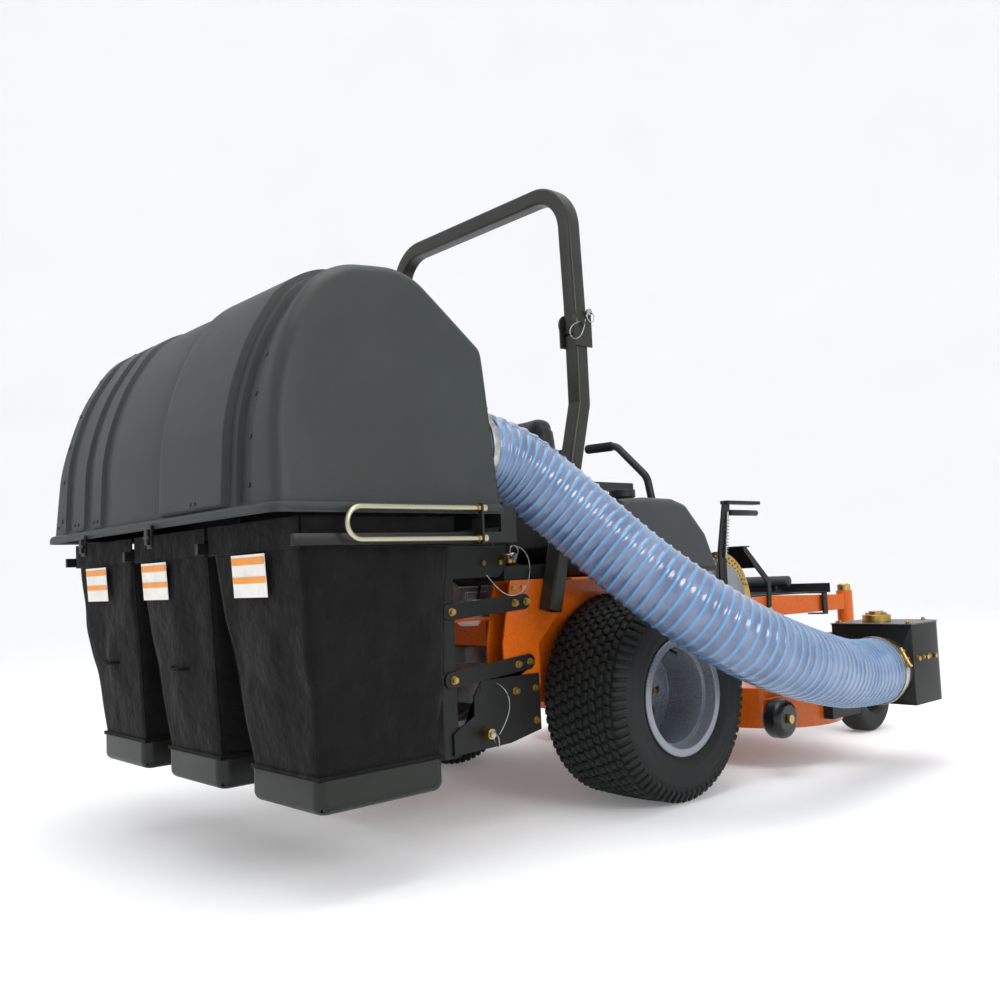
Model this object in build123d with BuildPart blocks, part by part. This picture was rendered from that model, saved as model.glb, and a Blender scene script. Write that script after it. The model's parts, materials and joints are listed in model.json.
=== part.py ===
"""Zero turn mower with a powered collector: machine, folding roll bar, deck, blower, hose and three bags.

Frame: +Y forward, +X to the operator's right, +Z up, in millimetres.
The origin lies on the ground straight below the middle of the drive axle.
"""

import os
from math import atan2, cos, degrees, radians, sin, tan

from build123d import *

os.makedirs("parts", exist_ok=True)

# ---------------------------------------------------------------- driving dimensions
# clearances
RUN = 0.05  # radial clearance of a shaft in its bore
GAP = 0.4  # gap between flat faces that slide past each other
SEAT = 0.3  # gap between a part and what it rests on

# drive wheels, 24 x 12.00-12
TYRE_R = 300.0
TYRE_W = 300.0
TREAD_W = 244.0
CARCASS = 14.0
WHEEL_X = 500.0
SEAT_R = 152.0
LIP_R = 168.0
LIP_OUT = 140.0
LIP_T = 7.0
RIM_WALL = 4.5
WELL_R = 140.0
DISC_OFFSET = -34.0
DISC_T = 8.0
VENT_R, VENT_PCR, VENT_COUNT = 11.0, 85.0, 8
LUG_PCR, LUG_COUNT = 50.0, 5
SHAFT_R = 17.5
AXLE_Z = TYRE_R

# frame
RAIL_OUT = 329.0
RAIL_W = 50.0
RAIL_H = 75.0
RAIL_WALL = 5.0
RAIL_Z = 468.0
RAIL_REAR, RAIL_FRONT = -430.0, 1000.0
PLATE_T = 6.0
FRAME_TOP = 650.0
BOX_OUT = 400.0
CROSS_W = 50.0
HITCH_R = 9.5
CRANK_Y = -250.0

# casters
CASTER_X, CASTER_Y = 436.0, 1300.0
CASTER_TUBE_R = 30.0
CASTER_TUBE_Z = (393.0, 547.0)
SPINDLE_R = 12.5
CASTER_TRAIL = 88.0
CASTER_R = 140.0
CASTER_W = 100.0
CASTER_HUB_R = 62.0
AXLE_BOLT_R = 9.5

# roll bar
POST = 50.0
POST_WALL = 3.5
POST_X = 425.0
POST_Y = -147.0
POST_BEND_Z = 1160.0
POST_FOOT = (-309.0, 560.0)
POST_TOP = 1366.0
HOOP_TOP = 1850.0
HOOP_LEAN = 12.0
HOOP_R = 125.0
FOLD_Y, FOLD_Z = -155.0, 1400.0
FOLD_BOLT_R = 8.0
LOCK_Y, LOCK_Z, LOCK_R = -130.0, 1432.0, 6.0

# deck
SPINDLES = ((430.0, 740.0), (0.0, 910.0), (-430.0, 740.0))
DECK_R = 245.0
DECK_Z = (130.0, 260.0)
DECK_WALL = 4.5
BLADE_L, BLADE_W, BLADE_T, BLADE_Z = 450.0, 60.0, 6.0, 172.0
BELT_Z = (329.0, 339.0)
BELT_IN, BELT_OUT = 66.5, 73.0
ROLLER_X, ROLLER_Y, ROLLER_Z, ROLLER_R, ROLLER_W = 645.0, 470.0, 178.0, 62.0, 66.0

# blower and hose
BLOWER_X = (700.0, 970.0)
BLOWER_Y = (724.0, 955.0)
BLOWER_Z = (208.0, 455.0)
BLOWER_WALL = 4.0
COVER_T = 4.0
FAN_X, FAN_Y, FAN_R = 800.0, 838.0, 90.0
HOSE_OUT_R = 103.0
HOSE_IN_R = 99.0
COLLAR_R = 98.4
COLLAR_WALL = 4.0
OUTLET = (868.0, 706.0, 316.0)
INLET = (520.0, -689.5, 985.0)

# tanks, seat and controls
TANK_X = (262.0, 562.0)
TANK_WALL = 10.0
TANK_ROUND = 25.0
SEAT_HALF = 235.0
SEAT_Z = 690.0
SECTOR_Y, SECTOR_Z, SECTOR_R = 612.0, 528.0, 186.0
SECTOR_X = (342.0, 347.0)
PEDAL_Y, PEDAL_Z = 933.0, 494.0
PEDAL_PIN_END = 344.0
PEDAL_PIN_R = 10.0
LAP_Y, LAP_Z = 350.0, 650.0
LAP_X = 311.0
ARM_Y, ARM_Z = 35.0, 935.0

# collector
HOOD_HALF = 650.0
HOOD_LEAN = 0.125
HOOD_Z = 831.0
HOOD_WALL = 5.0
HOOD_REAR, HOOD_FRONT = -1300.0, -690.0
HOOD_ROUND = 70.0
HINGE_Y, HINGE_Z = -682.0, 1246.0
BAG_PITCH = 430.0
BAG_WALL = 3.0
BAG_TOP, BAG_LOW = 770.3, 262.0
TRAY_Z = (190.0, 262.0)
RAIL_TOP = 770.0
ROD_X, ROD_R = 680.0, 6.0
TOWER_X = (350.0, 400.0)
TOWER_Y = (-689.5, -640.0)
LINK_T = 8.0


# ---------------------------------------------------------------- small makers
def block(x, y, z, mode=Mode.ADD):
    """A box given by its low and high values along each axis."""
    size = (x[1] - x[0], y[1] - y[0], z[1] - z[0])
    with Locations(((x[0] + x[1]) / 2, (y[0] + y[1]) / 2, (z[0] + z[1]) / 2)):
        Box(*size, mode=mode)


def rod(start, end, radius, mode=Mode.ADD):
    """A round bar, or a round hole, from one point to another."""
    run = Vector(*end) - Vector(*start)
    with Locations(Plane(origin=start, z_dir=run)):
        Cylinder(radius, run.length, align=(Align.CENTER, Align.CENTER, Align.MIN), mode=mode)


def side_plate(points, x, mode=Mode.ADD, corner=0.0):
    """An outline in Y and Z, as thick as the two X values are apart."""
    with BuildSketch(Plane.YZ.offset(x[0])) as outline:
        with BuildLine():
            Polyline(*points, close=True)
        make_face()
        if corner:
            fillet(outline.vertices(), corner)
    extrude(outline.sketch, amount=x[1] - x[0], mode=mode)


def front_plate(points, y, mode=Mode.ADD):
    """An outline in X and Z, as thick as the two Y values are apart."""
    with BuildSketch(Plane.XZ.offset(-y[1])) as outline:
        with BuildLine():
            Polyline(*points, close=True)
        make_face()
    extrude(outline.sketch, amount=y[1] - y[0], mode=mode)


def plan_plate(points, z, mode=Mode.ADD):
    """An outline in X and Y, as thick as the two Z values are apart."""
    with BuildSketch(Plane.XY.offset(z[0])) as outline:
        with BuildLine():
            Polyline(*points, close=True)
        make_face()
    extrude(outline.sketch, amount=z[1] - z[0], mode=mode)


def flat_bar(points, width, x, mode=Mode.ADD):
    """A flat bar with round ends through points in Y and Z."""
    with BuildSketch(Plane.YZ.offset(x[0])) as outline:
        for start, end in zip(points, points[1:]):
            run = Vector(*end) - Vector(*start)
            middle = (Vector(*start) + Vector(*end)) / 2
            with Locations(middle):
                SlotCenterToCenter(run.length, width, rotation=degrees(atan2(run.Y, run.X)))
    extrude(outline.sketch, amount=x[1] - x[0], mode=mode)


def tube(points, radii, outer, inner=0.0):
    """A round tube, or a round bar, along straight runs joined by tangent arcs."""
    with BuildLine() as path:
        FilletPolyline(*points, radius=radii)
    with BuildSketch(Plane(origin=path.line @ 0, z_dir=path.line % 0)) as section:
        Circle(outer)
        if inner:
            Circle(inner, mode=Mode.SUBTRACT)
    sweep(section.sketch, path=path.line)


def square_tube(points, radii, size, wall, x_dir):
    """A square tube with rounded corners along straight runs joined by tangent arcs."""
    with BuildLine() as path:
        FilletPolyline(*points, radius=radii)
    with BuildSketch(Plane(origin=path.line @ 0, x_dir=x_dir, z_dir=path.line % 0)) as section:
        RectangleRounded(size, size, 8)
        RectangleRounded(size - 2 * wall, size - 2 * wall, 8 - wall, mode=Mode.SUBTRACT)
    sweep(section.sketch, path=path.line)


def largest_radii(points):
    """The largest tangent arc at each corner that its two runs allow."""
    radii = []
    for before, here, after in zip(points, points[1:], points[2:]):
        run_in = Vector(*here) - Vector(*before)
        run_out = Vector(*after) - Vector(*here)
        half_turn = radians(run_in.get_angle(run_out)) / 2
        radii.append(0.45 * min(run_in.length, run_out.length) / tan(half_turn))
    return radii


def save(maker, name):
    """Label a finished piece and write its STEP file."""
    maker.part.label = name
    export_step(maker.part, f"parts/{name}.step")


def save_both(maker, name):
    """Write a right-hand piece and its mirror image on the left."""
    left = mirror(maker.part, about=Plane.YZ)
    for piece, label in ((maker.part, f"{name}_right"), (left, f"{name}_left")):
        piece.label = label
        export_step(piece, f"parts/{label}.step")


# ---------------------------------------------------------------- drive wheels
WHEEL_PLANE = Plane(origin=(WHEEL_X, 0, AXLE_Z), x_dir=(1, 0, 0), z_dir=(0, -1, 0))
WHEEL_AXIS = Axis((WHEEL_X, 0, AXLE_Z), (1, 0, 0))
BEAD = LIP_OUT - LIP_T - 0.5
BEAD_R = SEAT_R + 0.3

with BuildPart() as drive_tyre:
    shoulder = (TREAD_W / 2, TYRE_R - 5)
    right_wall = [
        shoulder,
        (TYRE_W / 2 - 5, TYRE_R - 26),
        (TYRE_W / 2, TYRE_R - 52),
        (TYRE_W / 2, SEAT_R + 58),
        (BEAD, LIP_R + 4),
        (BEAD, BEAD_R),
    ]
    left_wall = [(-u, v) for u, v in reversed(right_wall)]
    with BuildSketch(WHEEL_PLANE) as tyre_section:
        with BuildLine():
            ThreePointArc(left_wall[-1], (0, TYRE_R), shoulder)
            Polyline(*right_wall, *left_wall)
        make_face()
        right_inside = [
            (TREAD_W / 2 - 4, TYRE_R - 22),
            (TYRE_W / 2 - CARCASS, TYRE_R - 56),
            (TYRE_W / 2 - CARCASS, SEAT_R + 60),
            (BEAD - 20, LIP_R + 6),
            (BEAD - 20, BEAD_R - 1),
        ]
        left_inside = [(-u, v) for u, v in reversed(right_inside)]
        with BuildLine():
            Polyline(*right_inside, *left_inside, close=True)
        make_face(mode=Mode.SUBTRACT)
    revolve(axis=WHEEL_AXIS)
save_both(drive_tyre, "drive_tyre")

with BuildPart() as drive_rim:
    lip_in = LIP_OUT - LIP_T
    ledge = 100.0
    with BuildSketch(WHEEL_PLANE) as rim_section:
        for side in (1, -1):
            with Locations((side * (LIP_OUT - LIP_T / 2), (SEAT_R - RIM_WALL + LIP_R) / 2)):
                Rectangle(LIP_T, LIP_R - SEAT_R + RIM_WALL)
            with Locations((side * (lip_in + ledge) / 2, SEAT_R - RIM_WALL / 2)):
                Rectangle(lip_in - ledge + 4, RIM_WALL)
            with Locations((side * ledge, (WELL_R - RIM_WALL + SEAT_R) / 2)):
                Rectangle(RIM_WALL, SEAT_R - WELL_R + RIM_WALL)
        with Locations((0, WELL_R - RIM_WALL / 2)):
            Rectangle(2 * ledge, RIM_WALL)
        with Locations((DISC_OFFSET + DISC_T / 2, (WELL_R - RIM_WALL) / 2)):
            Rectangle(DISC_T, WELL_R - RIM_WALL)
    revolve(axis=WHEEL_AXIS)
    disc_face = Plane(origin=(WHEEL_X + DISC_OFFSET, 0, AXLE_Z), z_dir=(1, 0, 0))
    with Locations(disc_face):
        with PolarLocations(VENT_PCR, VENT_COUNT):
            Cylinder(VENT_R, 4 * DISC_T, mode=Mode.SUBTRACT)
        with PolarLocations(LUG_PCR, LUG_COUNT):
            Cylinder(11, DISC_T + 11, align=(Align.CENTER, Align.CENTER, Align.MIN))
    hub_face = WHEEL_X + DISC_OFFSET
    rod((hub_face - 12, 0, AXLE_Z), (hub_face, 0, AXLE_Z), 70)
    rod((252, 0, AXLE_Z), (hub_face + DISC_T + 18, 0, AXLE_Z), SHAFT_R)
save_both(drive_rim, "drive_rim")

with BuildPart() as hydro_drives:
    block((150, RAIL_OUT), (-75, 75), (232, 372))
    rod((225, 0, 372), (225, 0, 446), 48)
    rod((RAIL_OUT, 0, AXLE_Z), (430, 0, AXLE_Z), 30)
    rod((250, 0, AXLE_Z), (430, 0, AXLE_Z), SHAFT_R + RUN, mode=Mode.SUBTRACT)
    block((165, 235), (-62, 62), (246, 358), mode=Mode.SUBTRACT)
    mirror(about=Plane.YZ)
save(hydro_drives, "hydro_drives")

# ---------------------------------------------------------------- frame
with BuildPart() as main_frame:
    block((RAIL_OUT - RAIL_W, RAIL_OUT), (RAIL_REAR, RAIL_FRONT), (RAIL_Z, RAIL_Z + RAIL_H))
    block(
        (RAIL_OUT - RAIL_W + RAIL_WALL, RAIL_OUT - RAIL_WALL),
        (RAIL_REAR - 1, RAIL_FRONT + 1),
        (RAIL_Z + RAIL_WALL, RAIL_Z + RAIL_H - RAIL_WALL),
        mode=Mode.SUBTRACT,
    )
    inner_plate = [
        (-340, 300), (-340, FRAME_TOP), (200, FRAME_TOP), (330, 543),
        (420, 543), (420, 290), (-200, 290),
    ]
    side_plate(inner_plate, (RAIL_OUT, RAIL_OUT + PLATE_T))
    rear_box = [
        (-471, 356), (-471, 482), (-434, FRAME_TOP), (-255, FRAME_TOP),
        (-255, 545), (-335, 470), (-335, 356),
    ]
    side_plate(rear_box, (RAIL_OUT, BOX_OUT))
    box_hollow = [(-480, 350), (-480, 480), (-440, 644), (-261, 644), (-261, 548), (-341, 472), (-341, 350)]
    side_plate(box_hollow, (RAIL_OUT + PLATE_T, BOX_OUT - PLATE_T), mode=Mode.SUBTRACT)
    block((RAIL_OUT + PLATE_T, 440), (-230, 180), (FRAME_TOP - PLATE_T, FRAME_TOP))
    block((RAIL_OUT + PLATE_T, POST_X - POST / 2 - 1), (-255, -230), (FRAME_TOP - PLATE_T, FRAME_TOP))
    rod((RAIL_OUT - 1, 0, AXLE_Z), (RAIL_OUT + 7, 0, AXLE_Z), 32, mode=Mode.SUBTRACT)
    mirror(about=Plane.YZ)
save(main_frame, "main_frame")

with BuildPart() as cross_members:
    inner = RAIL_OUT - RAIL_W
    for rear in (RAIL_REAR, 330, RAIL_FRONT - CROSS_W):
        block((-inner, inner), (rear, rear + CROSS_W), (RAIL_Z, RAIL_Z + RAIL_H))
        block(
            (-inner - 1, inner + 1),
            (rear + 5, rear + CROSS_W - 5),
            (RAIL_Z + 5, RAIL_Z + RAIL_H - 5),
            mode=Mode.SUBTRACT,
        )
    # engine deck on top of the rails, tow plate hung below the rear member
    block((-RAIL_OUT, RAIL_OUT), (-600, -100), (RAIL_Z + RAIL_H, RAIL_Z + RAIL_H + 6))
    for side in (1, -1):
        x_pair = sorted((side * 60, side * 66))
        block(x_pair, (RAIL_REAR, RAIL_REAR + CROSS_W), (320, RAIL_Z))
        block(x_pair, (-520, RAIL_REAR), (320, 380))
    block((-70, 70), (-560, -380), (314, 320))
    rod((0, -530, 300), (0, -530, 330), HITCH_R, mode=Mode.SUBTRACT)
    rod((0, CRANK_Y, RAIL_Z + RAIL_H - 1), (0, CRANK_Y, RAIL_Z + RAIL_H + 7), 24, mode=Mode.SUBTRACT)
save(cross_members, "cross_members")

with BuildPart() as caster_arms:
    plan = [(279, 1000), (329, 1000), (458, 1294), (440, 1318), (414, 1300)]
    plan_plate(plan, (RAIL_Z, RAIL_Z + RAIL_H))
    taper = [(1000, RAIL_Z), (1000, RAIL_Z + RAIL_H), (1340, 531), (1340, 479)]
    side_plate(taper, (200, 520), mode=Mode.INTERSECT)
    tube_foot, tube_head = CASTER_TUBE_Z
    rod((CASTER_X, CASTER_Y, tube_foot), (CASTER_X, CASTER_Y, tube_head), CASTER_TUBE_R)
    rod((CASTER_X, CASTER_Y, tube_foot), (CASTER_X, CASTER_Y, tube_head), SPINDLE_R + RUN, mode=Mode.SUBTRACT)
    mirror(about=Plane.YZ)
save(caster_arms, "caster_arms")

PAN_Z = RAIL_Z + RAIL_H
with BuildPart() as floor_pan:
    half_pan = [(300, 390), (300, 1000), (400, 1235), (400, 1262)]
    pan = half_pan + [(-x, y) for x, y in reversed(half_pan)]
    plan_plate(pan, (PAN_Z, PAN_Z + 4))
    block((-400, 400), (1258, 1262), (PAN_Z, PAN_Z + 36))
    # ears that carry the lap bars
    for near, far in ((284, LAP_X - 15.4), (LAP_X + 15.4, 338)):
        for side in (1, -1):
            block(sorted((side * near, side * far)), (LAP_Y - 20, LAP_Y + 46), (PAN_Z, LAP_Z + 18))
    for side in (1, -1):
        rod((side * 284, LAP_Y, LAP_Z), (side * 338, LAP_Y, LAP_Z), 8)
save(floor_pan, "floor_pan")

# ---------------------------------------------------------------- casters
with BuildPart() as caster_fork:
    axle_y = CASTER_Y + CASTER_TRAIL
    leg_in, leg_out = CASTER_W / 2 + 8, CASTER_W / 2 + 16
    plate_z = CASTER_TUBE_Z[0] - 16
    block((CASTER_X - leg_out, CASTER_X + leg_out), (CASTER_Y - 45, axle_y + 30), (plate_z, plate_z + 10))
    rod((CASTER_X, CASTER_Y, plate_z + 10), (CASTER_X, CASTER_Y, CASTER_TUBE_Z[0] - SEAT), 28)
    rod((CASTER_X, CASTER_Y, plate_z + 10), (CASTER_X, CASTER_Y, CASTER_TUBE_Z[1] - 1), SPINDLE_R)
    leg = [(CASTER_Y + 20, plate_z), (axle_y + 30, plate_z), (axle_y + 24, CASTER_R), (axle_y - 24, CASTER_R)]
    for inner_x, outer_x in ((leg_in, leg_out), (-leg_out, -leg_in)):
        side_plate(leg, (CASTER_X + inner_x, CASTER_X + outer_x))
        rod((CASTER_X + inner_x, axle_y, CASTER_R), (CASTER_X + outer_x, axle_y, CASTER_R), 24)
    rod((CASTER_X - leg_out - 8, axle_y, CASTER_R), (CASTER_X + leg_out + 8, axle_y, CASTER_R), AXLE_BOLT_R)
save_both(caster_fork, "caster_fork")

with BuildPart() as caster_wheel:
    caster_hub = (CASTER_X, CASTER_Y + CASTER_TRAIL, CASTER_R)
    caster_plane = Plane(origin=caster_hub, x_dir=(1, 0, 0), z_dir=(0, -1, 0))
    caster_axis = Axis(caster_hub, (1, 0, 0))
    with BuildSketch(caster_plane) as caster_tyre:
        with Locations((0, (CASTER_R + CASTER_HUB_R) / 2)):
            RectangleRounded(CASTER_W, CASTER_R - CASTER_HUB_R, 24)
    revolve(axis=caster_axis)
    with BuildSketch(caster_plane) as caster_hub:
        with Locations((0, CASTER_HUB_R - 3)):
            Rectangle(CASTER_W - 50, 8)
        with Locations((0, 42)):
            Rectangle(10, 36)
        with Locations((0, (25 + AXLE_BOLT_R + RUN) / 2)):
            Rectangle(CASTER_W + 14, 25 - AXLE_BOLT_R - RUN)
    revolve(axis=caster_axis)
save_both(caster_wheel, "caster_wheel")

# ---------------------------------------------------------------- roll bar
EAR_IN, EAR_OUT = POST / 2 + GAP, POST / 2 + GAP + PLATE_T

with BuildPart() as rops_posts:
    post_route = [
        (POST_X, *POST_FOOT),
        (POST_X, POST_Y, POST_BEND_Z),
        (POST_X, POST_Y, POST_TOP),
    ]
    square_tube(post_route, 60, POST, POST_WALL, (1, 0, 0))
    horn_in, horn_out = POST_Y + POST / 2 - 1, POST_Y + POST / 2 + 12
    ear = [
        (FOLD_Y - 30, POST_TOP - 36),
        (horn_out, POST_TOP - 36),
        (horn_out, LOCK_Z + 12),
        (horn_in + 1.5, LOCK_Z + 12),
        (horn_in + 1.5, FOLD_Z + 8),
        (FOLD_Y - 30, FOLD_Z + 8),
    ]
    for side in (1, -1):
        x_pair = sorted((POST_X + side * EAR_IN, POST_X + side * EAR_OUT))
        side_plate(ear, x_pair)
        rod((x_pair[0], FOLD_Y, FOLD_Z), (x_pair[1], FOLD_Y, FOLD_Z), 33)
        weld = sorted((POST_X + side * POST / 2, POST_X + side * EAR_OUT))
        block(weld, (POST_Y - POST / 2 + 4, POST_Y + POST / 2 - 4), (POST_TOP - 36, POST_TOP - 2))
    bolt_ends = (POST_X - EAR_OUT - 9, POST_X + EAR_OUT + 9)
    rod((bolt_ends[0], FOLD_Y, FOLD_Z), (bolt_ends[1], FOLD_Y, FOLD_Z), FOLD_BOLT_R)
    mirror(about=Plane.YZ)
save(rops_posts, "rops_posts")

with BuildPart() as rops_hoop:
    hoop_mid = HOOP_TOP - POST / 2
    straight_top = POST_TOP + 90
    hoop_route = [
        (POST_X, POST_Y, POST_TOP + 6),
        (POST_X, POST_Y, straight_top),
        (POST_X - HOOP_LEAN, POST_Y, hoop_mid),
        (-POST_X + HOOP_LEAN, POST_Y, hoop_mid),
        (-POST_X, POST_Y, straight_top),
        (-POST_X, POST_Y, POST_TOP + 6),
    ]
    square_tube(hoop_route, [40, HOOP_R, HOOP_R, 40], POST, POST_WALL, (1, 0, 0))
    for side in (1, -1):
        ends = (side * (POST_X - POST), side * (POST_X + POST))
        rod((ends[0], FOLD_Y, FOLD_Z), (ends[1], FOLD_Y, FOLD_Z), FOLD_BOLT_R + RUN, mode=Mode.SUBTRACT)
        rod((ends[0], LOCK_Y, LOCK_Z), (ends[1], LOCK_Y, LOCK_Z), LOCK_R + RUN, mode=Mode.SUBTRACT)
save(rops_hoop, "rops_hoop")

with BuildPart() as rops_pin:
    pin_in, pin_out = POST_X - EAR_OUT - 12, POST_X + EAR_OUT + 14
    rod((pin_in, LOCK_Y, LOCK_Z), (pin_out, LOCK_Y, LOCK_Z), LOCK_R)
    rod((pin_out - 8, LOCK_Y, LOCK_Z), (pin_out, LOCK_Y, LOCK_Z), 10)
    ring_plane = Plane(origin=(pin_out + 2, LOCK_Y, LOCK_Z - 16), z_dir=(1, 0, 0))
    with Locations(ring_plane):
        Torus(15, 1.6)
    rod((pin_out - 1, LOCK_Y, LOCK_Z), (pin_out + 4, LOCK_Y, LOCK_Z), 3)
save_both(rops_pin, "rops_pin")

# ---------------------------------------------------------------- engine and tanks
ENGINE_Z = PAN_Z + 6
with BuildPart() as engine_block:
    block((-140, 140), (-540, -200), (ENGINE_Z, 640))
    block((-128, 128), (-528, -212), (ENGINE_Z + 12, 628), mode=Mode.SUBTRACT)
    for side in (1, -1):
        for fin in range(7):
            near = side * (140 + 13 * fin)
            block(sorted((near, near + side * 7)), (-490, -330), (ENGINE_Z + 6, 636))
        block(sorted((side * 140, side * 232)), (-450, -370), (ENGINE_Z + 20, 620))
    # crankshaft and clutch pulley under the engine deck
    rod((0, CRANK_Y, 400), (0, CRANK_Y, ENGINE_Z + 2), 14)
    rod((0, CRANK_Y, 400), (0, CRANK_Y, 450), 70)
save(engine_block, "engine_block")

with BuildPart() as engine_shroud:
    block((-170, 170), (-545, -190), (640, 690))
    rod((0, -368, 690), (0, -368, 780), 172)
    rod((0, -368, 780), (0, -368, 800), 110)
    rod((0, -368, 640), (0, -368, 795), 104, mode=Mode.SUBTRACT)
    block((-165, 165), (-540, -195), (640, 685), mode=Mode.SUBTRACT)
    rod((0, -368, 640), (0, -368, 775), 167, mode=Mode.SUBTRACT)
save(engine_shroud, "engine_shroud")

with BuildPart() as muffler:
    rod((-70, -590, 612), (320, -590, 612), 44)
    rod((-66, -590, 612), (316, -590, 612), 41, mode=Mode.SUBTRACT)
    rod((-100, -590, 612), (-70, -590, 612), 18)
    rod((0, -560, 600), (0, -540, 600), 18)
    block((-40, 40), (-600, -560), (ENGINE_Z, 570))
save(muffler, "muffler")

with BuildPart() as fuel_tanks:
    tank_profile = [
        (-130, FRAME_TOP),
        (-130, 868),
        (-20, 876),
        (110, 874),
        (170, 858),
        (262, 770),
        (322, FRAME_TOP),
    ]
    with BuildSketch(Plane.YZ.offset(TANK_X[0])) as tank_side:
        with BuildLine():
            Polyline(*tank_profile, close=True)
        make_face()
        top_corners = tank_side.vertices().sort_by(Axis.Z)[2:]
        fillet(top_corners, 32)
    extrude(tank_side.sketch, amount=TANK_X[1] - TANK_X[0])
    outer_face = fuel_tanks.faces().sort_by(Axis.X)[-1]
    fillet(outer_face.edges().filter_by(lambda e: e.center().Z > FRAME_TOP + 1), TANK_ROUND)
    with BuildSketch(Plane.YZ.offset(TANK_X[0] + TANK_WALL)) as tank_inside:
        add(tank_side.sketch)
        offset(amount=-TANK_WALL, mode=Mode.REPLACE)
    extrude(tank_inside.sketch, amount=TANK_X[1] - TANK_X[0] - 2 * TANK_WALL, mode=Mode.SUBTRACT)
    rod((430, 20, 860), (430, 20, 884), 34)
    rod((430, 20, 850), (430, 20, 890), 27, mode=Mode.SUBTRACT)
    mirror(about=Plane.YZ)
save(fuel_tanks, "fuel_tanks")

with BuildPart() as fuel_cap:
    rod((430, 20, 884 + SEAT), (430, 20, 908), 40)
    rod((430, 20, 866), (430, 20, 884 + SEAT), 27 - RUN)
save_both(fuel_cap, "fuel_cap")

with BuildPart() as oil_tank:
    block((258, 388), (-445, -262), (FRAME_TOP + 1, 690))
    block((266, 380), (-437, -270), (FRAME_TOP + 9, 682), mode=Mode.SUBTRACT)
    rod((345, -384, 690), (345, -384, 698), 16)
    block((258, RAIL_OUT + 20), (-445, -380), (FRAME_TOP, FRAME_TOP + 1))
save(oil_tank, "oil_tank")

# ---------------------------------------------------------------- seat and controls
BASE_TOP = 680.0
with BuildPart() as seat_base:
    block((-SEAT_HALF, SEAT_HALF), (-90, 385), (PAN_Z + 6, BASE_TOP))
    block((-SEAT_HALF + 4, SEAT_HALF - 4), (-86, 381), (PAN_Z + 5, BASE_TOP - 4), mode=Mode.SUBTRACT)
    block((-RAIL_OUT + 2, RAIL_OUT - 2), (-95, -55), (PAN_Z, PAN_Z + 6))
    block((-276, 276), (345, 385), (PAN_Z, PAN_Z + 6))
    for side in (1, -1):
        block(sorted((side * 150, side * 180)), (-60, 380), (BASE_TOP, BASE_TOP + 8))
save(seat_base, "seat_base")

PAN_LOW = BASE_TOP + 8 + SEAT
with BuildPart() as seat_pan:
    block((-200, 200), (0, 380), (PAN_LOW, PAN_LOW + 8))
    for side in (1, -1):
        for near, far in ((146, 150 - GAP), (180 + GAP, 184)):
            block(sorted((side * near, side * far)), (20, 340), (BASE_TOP + 1, PAN_LOW))
        # side arms up to the armrest pivots
        arm_x = sorted((side * 200, side * 206))
        block(arm_x, (0, 120), (PAN_LOW, PAN_LOW + 40))
        back_x = sorted((side * 200, side * 206))
        side_plate([(0, PAN_LOW), (70, PAN_LOW), (60, ARM_Z + 20), (10, ARM_Z + 20)], back_x)
        rod((side * 200, ARM_Y, ARM_Z), (side * 268, ARM_Y, ARM_Z), 8)
save(seat_pan, "seat_pan")

CUSHION_Z = PAN_LOW + 8 + SEAT
with BuildPart() as seat_cushion:
    block((-199, 199), (84, 440), (CUSHION_Z, 822))
    fillet(seat_cushion.edges().filter_by(Axis.Z), 45)
    fillet(seat_cushion.faces().sort_by(Axis.Z)[-1].edges(), 28)
save(seat_cushion, "seat_cushion")

with BuildPart() as seat_back:
    back_side = [
        (-4, CUSHION_Z),
        (82, CUSHION_Z),
        (70, 900),
        (22, 1165),
        (-8, 1184),
        (-52, 1172),
        (-60, 1120),
        (-16, 830),
    ]
    side_plate(back_side, (-199, 199), corner=9)
save(seat_back, "seat_back")

with BuildPart() as armrest:
    rod((240, ARM_Y, ARM_Z), (280, ARM_Y, ARM_Z), 18)
    block((240, 280), (ARM_Y, 262), (ARM_Z - 12, ARM_Z + 16))
    fillet(armrest.edges().filter_by(Axis.Z).sort_by(Axis.Y)[-2:], 12)
    rod((239, ARM_Y, ARM_Z), (268 + SEAT, ARM_Y, ARM_Z), 8 + RUN, mode=Mode.SUBTRACT)
save_both(armrest, "armrest")

with BuildPart() as lap_bar:
    lap_route = [
        (LAP_X, LAP_Y, LAP_Z + 14),
        (LAP_X, 310, 892),
        (LAP_X - 16, 310, 972),
        (166, 310, 1093),
        (30, 310, 1097),
    ]
    tube(lap_route, [70, 60, 50], 13)
    rod((LAP_X - 15, LAP_Y, LAP_Z), (LAP_X + 15, LAP_Y, LAP_Z), 19)
    rod((LAP_X - 16, LAP_Y, LAP_Z), (LAP_X + 16, LAP_Y, LAP_Z), 8 + RUN, mode=Mode.SUBTRACT)
save_both(lap_bar, "lap_bar")

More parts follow.
